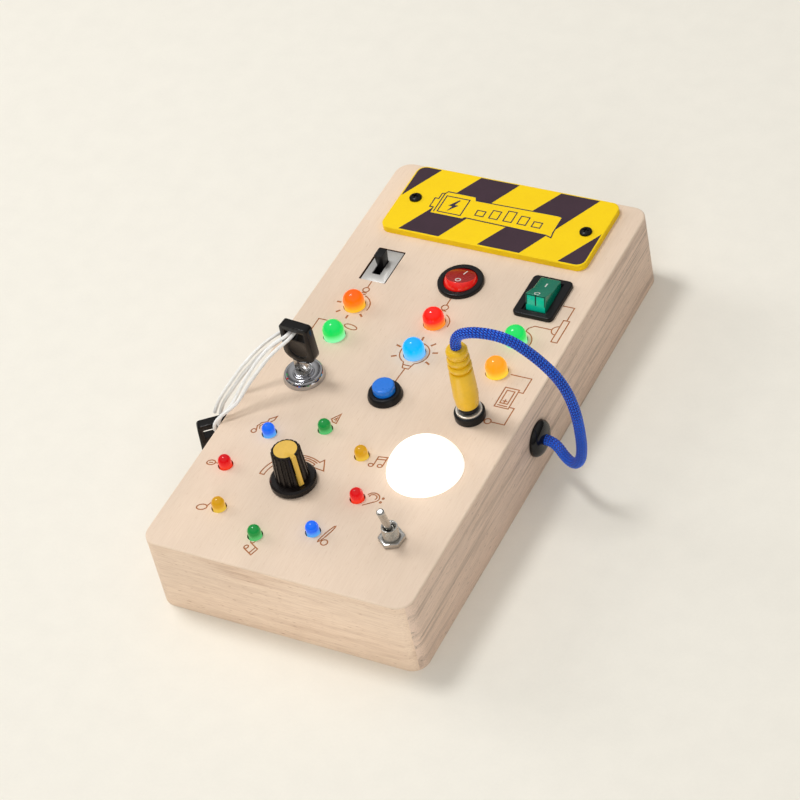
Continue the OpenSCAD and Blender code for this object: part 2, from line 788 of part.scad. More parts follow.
// A key's head, upright in the xz plane, with z = 0 where the blade comes out
module head_shape() {
    half = key_head_w / 2;
    low = 4.7;
    top = half - 0.5;
    round_by = 1.6;
    difference() {
        rotate([90, 0, 0]) linear_extrude(key_head_t, center = true) polygon(concat(
            [for (a = [180 : 15 : 360]) [half * cos(a), low + low * sin(a)]],
            arc([top - round_by, key_head_h - round_by], round_by, 0, 90, 5),
            arc([-top + round_by, key_head_h - round_by], round_by, 90, 180, 5)
        ));
        block(key_slot_w, 10, key_head_h - key_bar_h - key_slot_h, key_head_h - key_bar_h);
        block(key_tang_w + 2 * seat, key_blade_t + 2 * seat, -1, key_tang_h);
        for (side = [-1, 1])
            translate([0, side * key_head_t / 2, 6.6]) rotate([90, 0, 0]) rod(4, -0.4, 0.4);
    }
}

// A key's blade: a tang in the head, and under it a flat bit with a groove and cut wards
module blade_shape() {
    half = key_blade_w / 2;
    difference() {
        union() {
            block(key_tang_w, key_blade_t, 0, key_tang_h);
            rotate([90, 0, 0]) linear_extrude(key_blade_t, center = true) polygon([
                [half, 0], [-half, 0], [-half, 1.5 - key_blade_l], [-half + 1.5, -key_blade_l],
                [half - 2, -key_blade_l], [half - 0.9, 1.4 - key_blade_l], [half - 0.2, 2.2 - key_blade_l],
                [half - 0.8, 3.2 - key_blade_l], [half, 4.2 - key_blade_l]
            ]);
        }
        translate([-0.6, -key_blade_t / 2, -key_blade_l / 2]) block(0.9, 0.8, -20, 20);
    }
}

module in_lock() {
    on_board(lock_at) rotate(key_turn) translate([0, 0, key_foot_rise]) children();
}

module key_head() {
    shift = key_head_shift;
    color(black) in_lock() difference() {
        translate([shift, 0, 0]) head_shape();
        block(key_tang_w + 2 * seat, key_blade_t + 2 * seat, -1, key_tang_h);
    }
}

module key_blade() {
    color(chrome) in_lock() blade_shape();
}

module at_spare() {
    translate([spare_at[0], spare_at[1], spare_top_z - key_head_h]) rotate(spare_turn) children();
}

module spare_key_head() {
    color(black) at_spare() head_shape();
}

module spare_key_blade() {
    color(chrome) at_spare() blade_shape();
}

module key_string() {
    color([0.95, 0.95, 0.93]) tube(string_points, string_d, 8, [1, -1, 0]);
}

// Knob: a skirted, fluted grip with a pointer, and a coloured disc in its top
module knob_body() {
    flutes = 18;
    top_r = knob_grip_r - 0.8;
    top_edge = 0.6;
    color(black) on_board(knob_at) difference() {
        union() {
            rod(knob_skirt_r, knob_foot_rise, knob_skirt_rise - knob_skirt_edge);
            translate([0, 0, knob_skirt_rise - knob_skirt_edge])
                cylinder(r1 = knob_skirt_r, r2 = knob_skirt_r - knob_skirt_edge, h = knob_skirt_edge);
            translate([0, 0, knob_skirt_rise])
                cylinder(r1 = knob_grip_r, r2 = top_r, h = knob_rise - top_edge - knob_skirt_rise);
            translate([0, 0, knob_rise - top_edge])
                cylinder(r1 = top_r, r2 = top_r - 0.5, h = top_edge);
        }
        for (i = [0 : flutes - 1])
            rotate(pointer_turn + (i + 0.5) * 360 / flutes) translate([knob_grip_r + 0.1, 0, 0])
                rotate([0, -3, 0]) rod(flute_r, knob_skirt_rise + 0.4, knob_rise + 2);
        rod(knob_disc_r + seat, knob_rise - 0.8, knob_rise + 1);
        pointer(seat, 1);
        rod(knob_recess_r, 0, knob_recess_rise);
        rod(shaft_r + seat, 0, shaft_rise + loose);
    }
}

// The pointer: a bar let into the grip's top and down its side. Grown by a clearance and
// pushed out at its face, it cuts its own slot.
module pointer(grow, out) {
    deep = 0.8;
    proud = 0.15;
    foot_x = knob_grip_r + proud + out;
    top_x = knob_grip_r - 0.8 + proud + out;
    rotate(pointer_turn) rotate([90, 0, 0]) linear_extrude(pointer_w + 2 * grow, center = true)
        polygon([
            [0, knob_rise + 0.1 + out], [top_x, knob_rise + 0.1 + out],
            [foot_x, pointer_foot_rise - grow], [knob_grip_r - deep - grow, pointer_foot_rise - grow],
            [knob_grip_r - 0.8 - deep - grow, knob_rise - 0.8 - grow], [0, knob_rise - 0.8 - grow]
        ]);
}

module knob_disc() {
    color([0.95, 0.78, 0.25]) on_board(knob_at) {
        rod(knob_disc_r, knob_rise - 0.8, knob_rise + 0.1);
        pointer(0, 0);
    }
}

module rotary_shaft() {
    color(chrome) on_board(knob_at) rod(shaft_r, -rotary_depth, shaft_rise);
}

module rotary_switch_body() {
    color(chrome) on_board(knob_at) difference() {
        union() {
            rod(rotary_body_r, -panel_t - rotary_depth - 2, -panel_t);
            rod(rotary_bush_r, -panel_t - eps, rotary_bush_rise);
        }
        rod(shaft_r + run, -rotary_depth, rotary_bush_rise + 1);
    }
}

module rotary_switch_nut() {
    color(chrome) on_board(knob_at) hex_nut(5.6, rotary_bush_r + seat, rotary_nut_h);
}

// Toggle switch: a box, a threaded bushing, a nut, and a lever on a ball
module toggle_switch_body() {
    color([0.15, 0.25, 0.6]) on_board(toggle_at) difference() {
        block(toggle_body[0], toggle_body[1], -panel_t - toggle_body[2], -panel_t);
        rod(toggle_bore_r, -panel_t - 5, 0);
    }
}

module toggle_bushing() {
    color(chrome) on_board(toggle_at) difference() {
        rod(toggle_bush_r, -panel_t, toggle_bush_rise);
        rod(toggle_bore_r, -panel_t - 1, toggle_bush_rise + 1);
        translate([0, 0, toggle_bush_rise - 0.5])
            cylinder(r1 = toggle_bore_r, r2 = toggle_bore_r + 0.6, h = 0.51);
    }
}

module toggle_nut() {
    color(chrome) on_board(toggle_at) rotate(25)
        hex_nut(toggle_nut_r, toggle_bush_r + seat, toggle_nut_h);
}

module toggle_lever() {
    tip_r = 1.5;
    root_r = 1.3;
    tip_edge = 0.5;
    color(chrome) on_board(toggle_at) translate([0, 0, toggle_pivot_rise])
        rotate([toggle_throw / 2, 0, 0]) {
            sphere(toggle_ball_r);
            cylinder(r1 = root_r, r2 = tip_r, h = toggle_lever_l - tip_edge);
            translate([0, 0, toggle_lever_l - tip_edge])
                cylinder(r1 = tip_r, r2 = tip_r - tip_edge, h = tip_edge);
            rod(0.8, -5.5, 0);
        }
}

// Jack: a socket whose collar stands on the board, with a metal ring in it
module jack_socket() {
    color(black) on_board(jack_at) difference() {
        union() {
            rotate_extrude() polygon([
                [0, 0], [jack_collar_r, 0], [jack_collar_r, jack_collar_h - 0.5],
                [jack_collar_r - 0.5, jack_collar_h], [0, jack_collar_h]
            ]);
            rod(jack_thread_r, -panel_t - eps, eps);
            rod(jack_body_r, -jack_depth, -panel_t);
        }
        rod(plug_pin_r + run, -jack_depth + 1, jack_collar_h + 1);
        rod(jack_ring_r + seat, jack_face_rise - jack_ring_h, jack_collar_h + 1);
    }
}

module jack_ring() {
    color(chrome) on_board(jack_at) difference() {
        rod(jack_ring_r, jack_face_rise - jack_ring_h, jack_face_rise);
        rod(plug_pin_r + run, -1, jack_face_rise + 1);
    }
}

module plug_pin() {
    flare = 0.4;
    color(chrome) on_board(jack_at) rotate_extrude() polygon([
        [0, jack_face_rise - plug_pin_l], [0.6, jack_face_rise - plug_pin_l],
        [plug_pin_r, jack_face_rise - plug_pin_l + 1.6],
        [plug_pin_r - flare, jack_face_rise - plug_pin_l + 3],
        [plug_pin_r, jack_face_rise - plug_pin_l + 3.6], [plug_pin_r, plug_foot_rise + 3],
        [0, plug_foot_rise + 3]
    ]);
}

module plug_collar() {
    color(black) on_board(jack_at) difference() {
        rod(plug_collar_r, jack_face_rise, plug_foot_rise);
        rod(plug_pin_r + seat, 0, plug_foot_rise + 1);
    }
}

// The plug's handle: swells from its foot, then narrows to the lead past three grooves,
// which leave a bulging rib above each of them
module plug_handle() {
    grooves = [24.8, 28.2, 31.6];
    groove_w = 0.8;
    ends = [grooves[1], grooves[2], plug_top_rise];
    ribs = [for (i = [0 : 2]) let (r = plug_r - 0.3 - 0.2 * i, a = grooves[i], b = ends[i])
        each [[r - 0.4, a + groove_w / 2], [r, a + 1.1], [r, b - 1.1], [r - 0.4, b - groove_w / 2]]];
    color([0.93, 0.75, 0.1]) on_board(jack_at) difference() {
        rotate_extrude() polygon(concat(
            [[0, plug_foot_rise], [plug_r - 0.9, plug_foot_rise], [plug_r - 0.5, plug_foot_rise + 0.5],
                [plug_r, plug_foot_rise + 5.6], [plug_r - 0.3, grooves[0] - 1.1],
                [plug_r - 0.6, grooves[0] - groove_w / 2]],
            ribs,
            [[plug_r - 1.6, plug_top_rise], [0, plug_top_rise]]
        ));
        for (g = grooves) difference() {
            rod(plug_r + 1, g - groove_w / 2, g + groove_w / 2);
            rod(plug_r - 1.2, g - groove_w, g + groove_w);
        }
        rod(plug_pin_r + seat, plug_foot_rise - 1, plug_foot_rise + 3);
    }
}

module plug_lead() {
    color([0.1, 0.3, 0.75]) tube(lead_points, lead_d, 10, [0, 1, 0]);
}

// Lays a piece along the grommet's axis, with z = 0 at the side board's outer face
module along_grommet() {
    translate([board_w / 2, grommet_at[0], grommet_at[1]]) rotate([0, 90, 0]) children();
}

module lead_grommet() {
    bore = lead_d / 2 + seat;
    color(black) along_grommet() difference() {
        union() {
            rotate_extrude() polygon(concat(
                [[0, 0], [grommet_r, 0], [grommet_r, 0.5]],
                [for (a = [15 : 15 : 60])
                    [bore + 0.4 + (grommet_r - bore - 0.4) * cos(a), 0.5 + (grommet_h - 0.5) * sin(a)]],
                [[bore + 1, grommet_h], [0, grommet_h]]
            ));
            rod(grommet_neck_r, -wall_t - eps, eps);
            rod(grommet_flange_r, -wall_t - grommet_flange_t, -wall_t);
        }
        rod(bore, -wall_t - grommet_flange_t - 1, grommet_h + 1);
    }
}

// A lamp with its domed end up, a flange at its foot and two legs to the circuit board
module lamp(d, rise, foot_drop) {
    flange = 0.35;
    pitch = 2.54;
    rod(d / 2, -foot_drop, rise);
    translate([0, 0, rise]) sphere(d / 2);
    rod(d / 2 + flange, -foot_drop, -foot_drop + 1);
    for (x = [-1, 1])
        translate([x * pitch / 2, 0, 0]) rod(leg_d / 2, -pcb_drop, -foot_drop + eps);
}

// Places of the small lamps, counted from the right, anticlockwise
function ring_place(i) = ring_at + ring_r * [cos(45 * i), sin(45 * i)];

module big_lamps(places) {
    for (p = places) on_board([lamp_columns[p[0]], lamp_rows[p[1]]])
        lamp(big_lamp_d, big_lamp_rise, panel_t + 3.4);
}

module small_lamps(places) {
    for (i = places) on_board(ring_place(i)) lamp(small_lamp_d, small_lamp_rise, panel_t + 1);
}

module big_lamp_orange() {
    color([1, 0.45, 0]) big_lamps([[0, 0]]);
}

module big_lamp_red() {
    color([1, 0.15, 0.1]) big_lamps([[1, 0]]);
}

module big_lamp_green() {
    color([0.1, 0.9, 0.35]) big_lamps([[2, 0], [0, 1]]);
}

module big_lamp_blue() {
    color([0.2, 0.75, 1]) big_lamps([[1, 1]]);
}

module big_lamp_amber() {
    color([1, 0.72, 0.1]) big_lamps([[2, 1]]);
}

module small_lamp_red() {
    color([0.85, 0.1, 0.12]) small_lamps([0, 4]);
}

module small_lamp_blue() {
    color([0.15, 0.45, 0.95]) small_lamps([7, 3]);
}

module small_lamp_amber() {
    color([0.85, 0.6, 0.1]) small_lamps([1, 5]);
}

module small_lamp_green() {
    color([0.15, 0.6, 0.35]) small_lamps([2, 6]);
}

// The white lamp: a hollow dome with a skirt through the board and a flange under it
module dome_lamp() {
    ball_r = (dome_r * dome_r + dome_rise * dome_rise) / (2 * dome_rise);
    color([1, 1, 0.97]) on_board(dome_at) difference() {
        union() {
            intersection() {
                translate([0, 0, dome_rise - ball_r]) sphere(ball_r, $fn = 96);
                rod(dome_r, 0, dome_rise + 1);
            }
            rod(dome_r, -panel_t - eps, eps);
            rod(dome_r + dome_flange, -panel_t - dome_t, -panel_t);
        }
        intersection() {
            translate([0, 0, dome_rise - ball_r]) sphere(ball_r - dome_t, $fn = 96);
            rod(dome_r, -eps, dome_rise + 1);
        }
        rod(dome_r - dome_t, -panel_t - dome_t - 1, 0.4);
    }
}

// The circuit board, with cut-outs for the switches that pass through it, and its chips
pcb_back_y = place(0, 36)[1];
pcb_front_y = pcb_front_gap - inner_l / 2;
pcb_half_w = inner_w / 2 - 5;

module circuit_board() {
    color([0.1, 0.4, 0.2]) difference() {
        union() {
            translate([0, (pcb_back_y + pcb_front_y) / 2, 0])
                block(2 * pcb_half_w, pcb_back_y - pcb_front_y, pcb_top_z - pcb_t, pcb_top_z);
            translate([20, 18, 0]) block(10, 6, pcb_top_z - eps, pcb_top_z + 2);
            translate([dome_at[0], dome_at[1], 0]) block(5, 5, pcb_top_z - eps, pcb_top_z + 1.6);
            for (i = [0 : 5])
                translate([-26 + 4 * i, 17.4, 0]) block(2, 1.2, pcb_top_z - eps, pcb_top_z + 0.6);
        }
        for (x = [-1, 1])
            translate([x * block_x, -block_y, 0])
                block(block_side + 2, block_side + 2, 0, board_h);
        on_board(lock_at) rod(lock_body_r + 0.6, -20, 0);
        on_board(push_at) rod(push_body_r + 0.6, -20, 0);
        on_board(jack_at) rod(jack_body_r + 0.6, -20, 0);
        on_board(knob_at) rod(rotary_body_r + 0.6, -20, 0);
        on_board(toggle_at) block(toggle_body[0] + 1, toggle_body[1] + 1, -20, 0);
    }
}

// The battery holder stands on the base panel over the hatch, with a boss for the hatch screw
holder_w = cell_l + 2 * (3.2 + holder_t);
holder_l = 3 * cell_d + 3 + 2 * holder_t;
holder_h = cell_d + 3;
cell_z = base_t + holder_h - holder_t - cell_d / 2 - 0.4;

module battery_holder() {
    color(black) difference() {
        union() {
            translate(battery_at) block(holder_w, holder_l, base_t, base_t + holder_h);
            at_hatch_screw() rod(3.4, base_t, base_t + 7);
            at_hatch_screw() translate([0, ear_l / 2, 0]) block(2, ear_l, base_t, base_t + 7);
        }
        translate(battery_at)
            block(holder_w - 2 * holder_t, holder_l - 2 * holder_t, 0, base_t + holder_h - holder_t);
        at_hatch_screw() rod(screw_d / 2 + seat, 0, screw_recess + screw_l + 1);
    }
}

module battery_cells() {
    pitch = cell_d + 0.8;
    color([0.25, 0.3, 0.35]) for (i = [-1, 0, 1])
        translate([battery_at[0], battery_at[1] + i * pitch, cell_z]) rotate([0, i == 0 ? -90 : 90, 0]) {
            rod(cell_d / 2, -cell_l / 2, cell_l / 2 - 1);
            rod(1.9, -cell_l / 2, cell_l / 2);
        }
}

// One contact for each end of each cell: a plate on the holder's wall and a stud to the cell
module battery_contacts() {
    pitch = cell_d + 0.8;
    wall_x = holder_w / 2 - holder_t;
    color(chrome) for (i = [-1, 0, 1], side = [-1, 1])
        translate([battery_at[0], battery_at[1] + i * pitch, cell_z]) rotate([0, side * 90, 0]) {
            block(8, 8, wall_x - 0.6, wall_x);
            rod(2.2, cell_l / 2, wall_x - 0.6 + eps);
        }
}

// Wires from the back switches, the battery holder and the lead to the circuit board
module wire(points, d = 1.4) {
    tube(points, d, 8, [0, 0.6, 0.8]);
}

module wiring() {
    edge_y = pcb_back_y;
    edge_z = pcb_top_z - pcb_t / 2;
    slide_y = slide_at[1] - slide_plate_l / 2 + 1;
    holder_y = battery_at[1] - holder_l / 2;
    tail_x = lead_points[0][0];
    tail_y = lead_points[0][1];
    tail_z = lead_points[0][2];
    span = holder_y - edge_y;
    color([0.8, 0.15, 0.15]) {
        for (x = [slide_at[0] - 2, slide_at[0] + 2])
            wire([[x, slide_y, edge_z + 2], [x, slide_y - 2, edge_z + 2],
                [x, edge_y + 2, edge_z], [x, edge_y, edge_z]]);
        for (x = [round_at[0] - 3, round_at[0] + 3])
            wire([[x, round_at[1] - round_box / 2, edge_z], [x, edge_y, edge_z]]);
        for (x = [rect_at[0] - 3, rect_at[0] + 3])
            wire([[x, rect_at[1] - rect_neck_l / 2, edge_z], [x, edge_y, edge_z]]);
        for (x = [14, 18])
            wire([[x, holder_y, 13], [x, edge_y + 0.53 * span, 13], [x, edge_y + 0.38 * span, 15],
                [x, edge_y + 0.23 * span, edge_z - 2], [x, edge_y + 0.11 * span, edge_z],
                [x, edge_y, edge_z]]);
        wire([[tail_x, tail_y, tail_z], [tail_x - 3, tail_y, tail_z], [tail_x - 6, tail_y, tail_z + 1.6],
            [tail_x - 7, tail_y, pcb_top_z - pcb_t - 2], [tail_x - 7, tail_y, pcb_top_z - pcb_t]]);
    }
}

wall_front();
wall_back();
wall_left();
wall_right();
corner_blocks();
top_panel();
base_panel();
battery_hatch();
wood_screws();
sign_plate();
slide_switch_body();
slide_switch_plate();
slide_switch_lever();
round_rocker_housing();
round_rocker_button();
rect_rocker_housing();
rect_rocker_button();
push_button_housing();
push_button_cap();
push_button_spring();
push_button_nut();
key_lock_barrel();
key_lock_nut();
key_lock_core();
key_head();
key_blade();
spare_key_head();
spare_key_blade();
key_string();
knob_body();
knob_disc();
rotary_shaft();
rotary_switch_body();
rotary_switch_nut();
toggle_switch_body();
toggle_bushing();
toggle_nut();
toggle_lever();
jack_socket();
jack_ring();
plug_handle();
plug_collar();
plug_pin();
plug_lead();
lead_grommet();
big_lamp_orange();
big_lamp_red();
big_lamp_green();
big_lamp_blue();
big_lamp_amber();
small_lamp_red();
small_lamp_blue();
small_lamp_amber();
small_lamp_green();
dome_lamp();
circuit_board();
battery_holder();
battery_cells();
battery_contacts();
wiring();
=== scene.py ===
# %% [markdown]
# # A wooden board of switches and lamps
# The solid parts come ready made from CAD, as the frame. This lesson gives each of them a
# finish, puts finer pieces over some, and adds what CAD leaves plain: cords, engraving and print.
# Lengths in the text are millimetres, and Blender gets metres.

# %% Load the frame
import json
import math

import bmesh
import bpy
import numpy as np
from mathutils import Matrix, Vector
from mathutils.bvhtree import BVHTree

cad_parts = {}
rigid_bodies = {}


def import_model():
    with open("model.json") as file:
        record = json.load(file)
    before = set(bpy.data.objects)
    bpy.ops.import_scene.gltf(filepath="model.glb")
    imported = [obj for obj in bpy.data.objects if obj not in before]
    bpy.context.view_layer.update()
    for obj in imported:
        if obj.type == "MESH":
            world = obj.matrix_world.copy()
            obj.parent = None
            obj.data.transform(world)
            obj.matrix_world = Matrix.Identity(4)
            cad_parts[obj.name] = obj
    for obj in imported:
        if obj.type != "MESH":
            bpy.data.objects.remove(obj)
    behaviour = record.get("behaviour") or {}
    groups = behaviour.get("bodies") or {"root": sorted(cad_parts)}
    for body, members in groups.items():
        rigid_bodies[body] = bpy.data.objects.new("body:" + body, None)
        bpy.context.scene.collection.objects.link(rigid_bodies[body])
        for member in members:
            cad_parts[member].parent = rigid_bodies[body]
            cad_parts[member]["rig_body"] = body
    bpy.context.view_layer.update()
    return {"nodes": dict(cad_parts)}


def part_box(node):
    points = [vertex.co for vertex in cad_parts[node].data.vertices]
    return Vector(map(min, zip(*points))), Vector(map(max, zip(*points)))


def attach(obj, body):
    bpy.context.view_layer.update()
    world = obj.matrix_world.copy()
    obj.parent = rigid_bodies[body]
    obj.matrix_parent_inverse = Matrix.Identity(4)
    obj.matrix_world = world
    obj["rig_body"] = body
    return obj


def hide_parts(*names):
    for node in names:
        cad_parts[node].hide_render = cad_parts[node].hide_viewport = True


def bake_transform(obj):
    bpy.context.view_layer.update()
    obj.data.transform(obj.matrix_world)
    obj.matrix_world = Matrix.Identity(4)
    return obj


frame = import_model()
MM = 0.001
TOP = 34.2

# %% [markdown]
# The camera stands to the front and right of the board and looks down on it through a long lens,
# as the photograph was taken. Its three directions were solved from the board's straight edges.

# %% Camera
def turned(right, up, forward):
    """The rotation of a camera from its three directions."""
    return Matrix((right, up, [-x for x in forward])).transposed()


camera_data = bpy.data.cameras.new("camera")
camera_data.lens = 128.36
camera_data.sensor_width = 36
camera_data.clip_start = 0.05
camera = bpy.data.objects.new("camera", camera_data)
camera.matrix_world = turned((0.8832, 0.4391, -0.1649), (-0.2077, 0.6812, 0.7020),
                             (-0.4206, 0.5857, -0.6929)).to_4x4()
camera.location = Vector((453.75, -639.1, 771.8)) * MM
bpy.context.scene.collection.objects.link(camera)
bpy.context.scene.camera = camera
print("camera: lens", camera_data.lens, "mm")

# %% [markdown]
# Every piece is finished the same way: its mesh is made in place, and its object stays at the
# origin. A few small helpers do that. A colour is written as seen on screen, 0 to 255.

# %% Helpers for colours, objects and meshes
def shade(red, green, blue):
    """A screen colour as Blender's linear colour."""
    def linear(c):
        c /= 255
        return c / 12.92 if c <= 0.04045 else ((c + 0.055) / 1.055) ** 2.4
    return (linear(red), linear(green), linear(blue), 1)


def to_object(name, mesh, body="root", smooth_below=35):
    """Puts a mesh into the scene as a piece that rides on a body."""
    piece = bpy.data.objects.new(name, mesh)
    bpy.context.scene.collection.objects.link(piece)
    for face in mesh.polygons:
        face.use_smooth = True
    mesh.set_sharp_from_angle(angle=math.radians(smooth_below))
    if body:
        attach(piece, body)
    return piece


def from_bmesh(name, bm, body="root", smooth_below=35):
    """Ends a bmesh as a piece, with its faces pointing outwards."""
    bmesh.ops.recalc_face_normals(bm, faces=bm.faces)
    mesh = bpy.data.meshes.new(name)
    bm.to_mesh(mesh)
    bm.free()
    return to_object(name, mesh, body, smooth_below)


def evaluated_mesh(piece, name):
    """The mesh of a curve, or of a piece with its modifiers applied."""
    bpy.context.view_layer.update()
    depsgraph = bpy.context.evaluated_depsgraph_get()
    mesh = bpy.data.meshes.new_from_object(piece.evaluated_get(depsgraph))
    mesh.name = name
    return mesh


print("helpers ready")

# %% [markdown]
# ## Cords
# Two cords hang free. The lead is a braided sleeve over rubber, 4 across, from the grommet in
# the side to the plug. The string is soft and white, 1.5 across, and goes twice round between
# the two keys. Both follow the route that their CAD solids take. The points are joined by one
# curve that bends evenly, because a real cord has no corners.

# %% Routes of the cords
LEAD_ROUTE = [
    (46, -3.7, 17.1), (54, -3.7, 17.1), (60, -3.8, 17.1), (63.4, -4.9, 16.6),
    (66.8, -7, 15.4), (70.4, -9.3, 15.2), (73.9, -11.3, 17), (76.5, -12.3, 20.4),
    (78, -12.6, 25.2), (78.4, -12.2, 30.2), (78.2, -11.6, 35), (77.8, -11.1, 40),
    (77, -10.6, 45), (75.8, -10.2, 50), (74.1, -10, 54.8), (71.9, -10.1, 59.4),
    (69.1, -10.5, 63.8), (65.8, -11, 68), (62, -11.6, 72), (58, -12.3, 75.4),
    (53.4, -13.4, 78.1), (49, -14.5, 79.4), (44.8, -15.4, 79.7), (40.7, -15.7, 78.6),
    (38.3, -15.6, 77.1), (35.9, -15.4, 73.7), (35.3, -15.3, 70.6), (35.3, -15.3, 69.6),
]
STRING_ROUTE = [
    (-63.6, -38.2, 28.8), (-61.9, -35.9, 33.4), (-58.5, -31.4, 38.9), (-54.7, -26.7, 44.2),
    (-50.4, -21.4, 48.8), (-46.2, -16.2, 51.8), (-42.3, -11.6, 53.6), (-39.5, -10.1, 55.9),
    (-36.9, -11.9, 57.3), (-36.3, -15.2, 57.6), (-37.1, -17.9, 57.4), (-39.2, -20, 56.6),
    (-42, -23, 54.9), (-45.4, -27.1, 51.2), (-48.9, -32.5, 45.9), (-51.4, -37.5, 40.8),
    (-53.3, -41.4, 37.4), (-56.2, -44.4, 34.4), (-57.1, -45.2, 30.2), (-57.3, -43.9, 27.2),
    (-58.5, -42.1, 25.7), (-60.1, -40, 25.7), (-61.2, -38.2, 27.4), (-60.9, -36.2, 30.8),
    (-58.4, -32.9, 35.4), (-55.1, -28.8, 40.2), (-51, -23.7, 45), (-46.6, -18.2, 48.6),
    (-42.5, -12.9, 50.6), (-39.8, -9.4, 53.2), (-37, -8.6, 55.4), (-35, -10.9, 57.2),
    (-34.5, -14.9, 57.6), (-35, -18.3, 57.4), (-37, -21.6, 56.2), (-40.1, -25.3, 53.8),
    (-44, -30.2, 49.1), (-47.5, -35.2, 44.1), (-50.4, -40.2, 39.5), (-53.6, -44.2, 37.4),
    (-56.6, -47, 34.6), (-58.1, -47, 30.8), (-59, -45.5, 27.6), (-60, -43.4, 25.9),
    (-61.6, -41.2, 25.4), (-62.8, -39.6, 25.6), (-63.5, -38.7, 26.1),
]


def line_through(points, step):
    """Points every step along the evenly bending curve (a natural cubic spline) through points."""
    p = np.array(points, float)
    t = np.r_[0, np.cumsum(np.linalg.norm(np.diff(p, axis=0), axis=1))]
    h, n = np.diff(t), len(p)
    a, b = np.eye(n), np.zeros((n, 3))
    for i in range(1, n - 1):
        a[i, i - 1:i + 2] = h[i - 1], 2 * (h[i - 1] + h[i]), h[i]
        b[i] = 6 * ((p[i + 1] - p[i]) / h[i] - (p[i] - p[i - 1]) / h[i - 1])
    bend = np.linalg.solve(a, b)
    s = np.linspace(0, t[-1], int(t[-1] / step) + 1)
    i = np.clip(np.searchsorted(t, s, side="right") - 1, 0, n - 2)
    u, w, k = (s - t[i])[:, None], (t[i + 1] - s)[:, None], h[i][:, None]
    return (bend[i] * w**3 + bend[i + 1] * u**3) / (6 * k) + (p[i] / k - bend[i] * k / 6) * w + (
        p[i + 1] / k - bend[i + 1] * k / 6) * u


lead_line = line_through(LEAD_ROUTE, 0.3)
string_line = line_through(STRING_ROUTE, 0.25)


def length_of(line):
    return float(np.linalg.norm(np.diff(line, axis=0), axis=1).sum())


print("lead", round(length_of(lead_line), 1), "string", round(length_of(string_line), 1))

# %% [markdown]
# A curve object sweeps a section along a line, and each point's tilt turns the section. A round
# section of four lobes that keeps turning is a laid string. The braid needs a frame along
# the lead, so that each strand can wind round it and pass over and under the others.

# %% Sweeping along a line
def frames_along(line):
    """Two unit directions across the line at each of its points, carried along without twist."""
    heading = np.gradient(line, axis=0)
    heading /= np.linalg.norm(heading, axis=1)[:, None]
    side = np.cross(heading[0], (0.3, 0.9, 0.2))
    sides = []
    for d in heading:
        side = side - d * (side @ d)
        side /= np.linalg.norm(side)
        sides.append(side)
    sides = np.array(sides)
    return sides, np.cross(heading, sides)


def swept(name, lines, radius=None, section=None, turn_every=None, sides=2):
    """A mesh swept along each line, by a round section or by another curve."""
    curve = bpy.data.curves.new(name, "CURVE")
    curve.dimensions = "3D"
    curve.twist_mode = "MINIMUM"
    for line in lines:
        spline = curve.splines.new("POLY")
        spline.points.add(len(line) - 1)
        spline.points.foreach_set("co", np.c_[line * MM, np.ones(len(line))].ravel())
        if turn_every:
            along = np.r_[0, np.cumsum(np.linalg.norm(np.diff(line, axis=0), axis=1))]
            spline.points.foreach_set("tilt", along * math.tau / turn_every)
    if section:
        curve.bevel_mode = "OBJECT"
        curve.bevel_object = section
    else:
        curve.bevel_depth = radius * MM
        curve.bevel_resolution = sides
    curve.use_fill_caps = True
    holder = bpy.data.objects.new(name + "_curve", curve)
    bpy.context.scene.collection.objects.link(holder)
    mesh = evaluated_mesh(holder, name)
    bpy.data.objects.remove(holder)
    return mesh


def section_curve(name, radii):
    """A closed flat curve whose radius at even angles is given."""
    curve = bpy.data.curves.new(name, "CURVE")
    curve.dimensions = "2D"
    spline = curve.splines.new("POLY")
    spline.points.add(len(radii) - 1)
    spline.use_cyclic_u = True
    for i, r in enumerate(radii):
        angle = math.tau * i / len(radii)
        spline.points[i].co = (r * MM * math.cos(angle), r * MM * math.sin(angle), 0, 1)
    holder = bpy.data.objects.new(name, curve)
    bpy.context.scene.collection.objects.link(holder)
    return holder


print("sweeps ready")

# %% [markdown]
# The braid has twelve strands each way. Where two strands cross, one stands a little out and
# the other a little in, and the next crossing is the other way round. The strands of one way
# are painted a lighter blue, as painted highlights: rows of small diamonds where they come to the outside.

# %% The braided lead
LEAD_R = 2.0
STRANDS = 12
BRAID_PITCH = 15.0
STRAND_R = 0.28
WEAVE = 0.13

across, beside = frames_along(lead_line)
run = np.r_[0, np.cumsum(np.linalg.norm(np.diff(lead_line, axis=0), axis=1))]
blue_lines, highlight_lines = [], []
for way in (1, -1):
    for k in range(STRANDS):
        angle = math.tau * k / STRANDS + way * math.tau * run / BRAID_PITCH
        radius = LEAD_R - STRAND_R + way * WEAVE * np.cos(math.tau * STRANDS * run / BRAID_PITCH)
        lines = highlight_lines if way == 1 else blue_lines
        lines.append(lead_line + radius[:, None] * (
            np.cos(angle)[:, None] * across + np.sin(angle)[:, None] * beside))
bm = bmesh.new()
bm.from_mesh(swept("lead_core", [lead_line], radius=LEAD_R - 0.45, sides=4))
bm.from_mesh(swept("lead_strands", blue_lines, radius=STRAND_R, sides=1))
blue_faces = len(bm.faces)
# The lighter strands carry painted highlights on the braid's crossings
bm.from_mesh(swept("lead_painted_highlight", highlight_lines, radius=STRAND_R, sides=1))
bm.faces.ensure_lookup_table()
for face in bm.faces[blue_faces:]:
    face.material_index = 1
lead = from_bmesh("braided_lead", bm, body=None, smooth_below=80)
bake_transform(lead)
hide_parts("plug_lead")
print("braided lead:", len(lead.data.polygons), "faces")

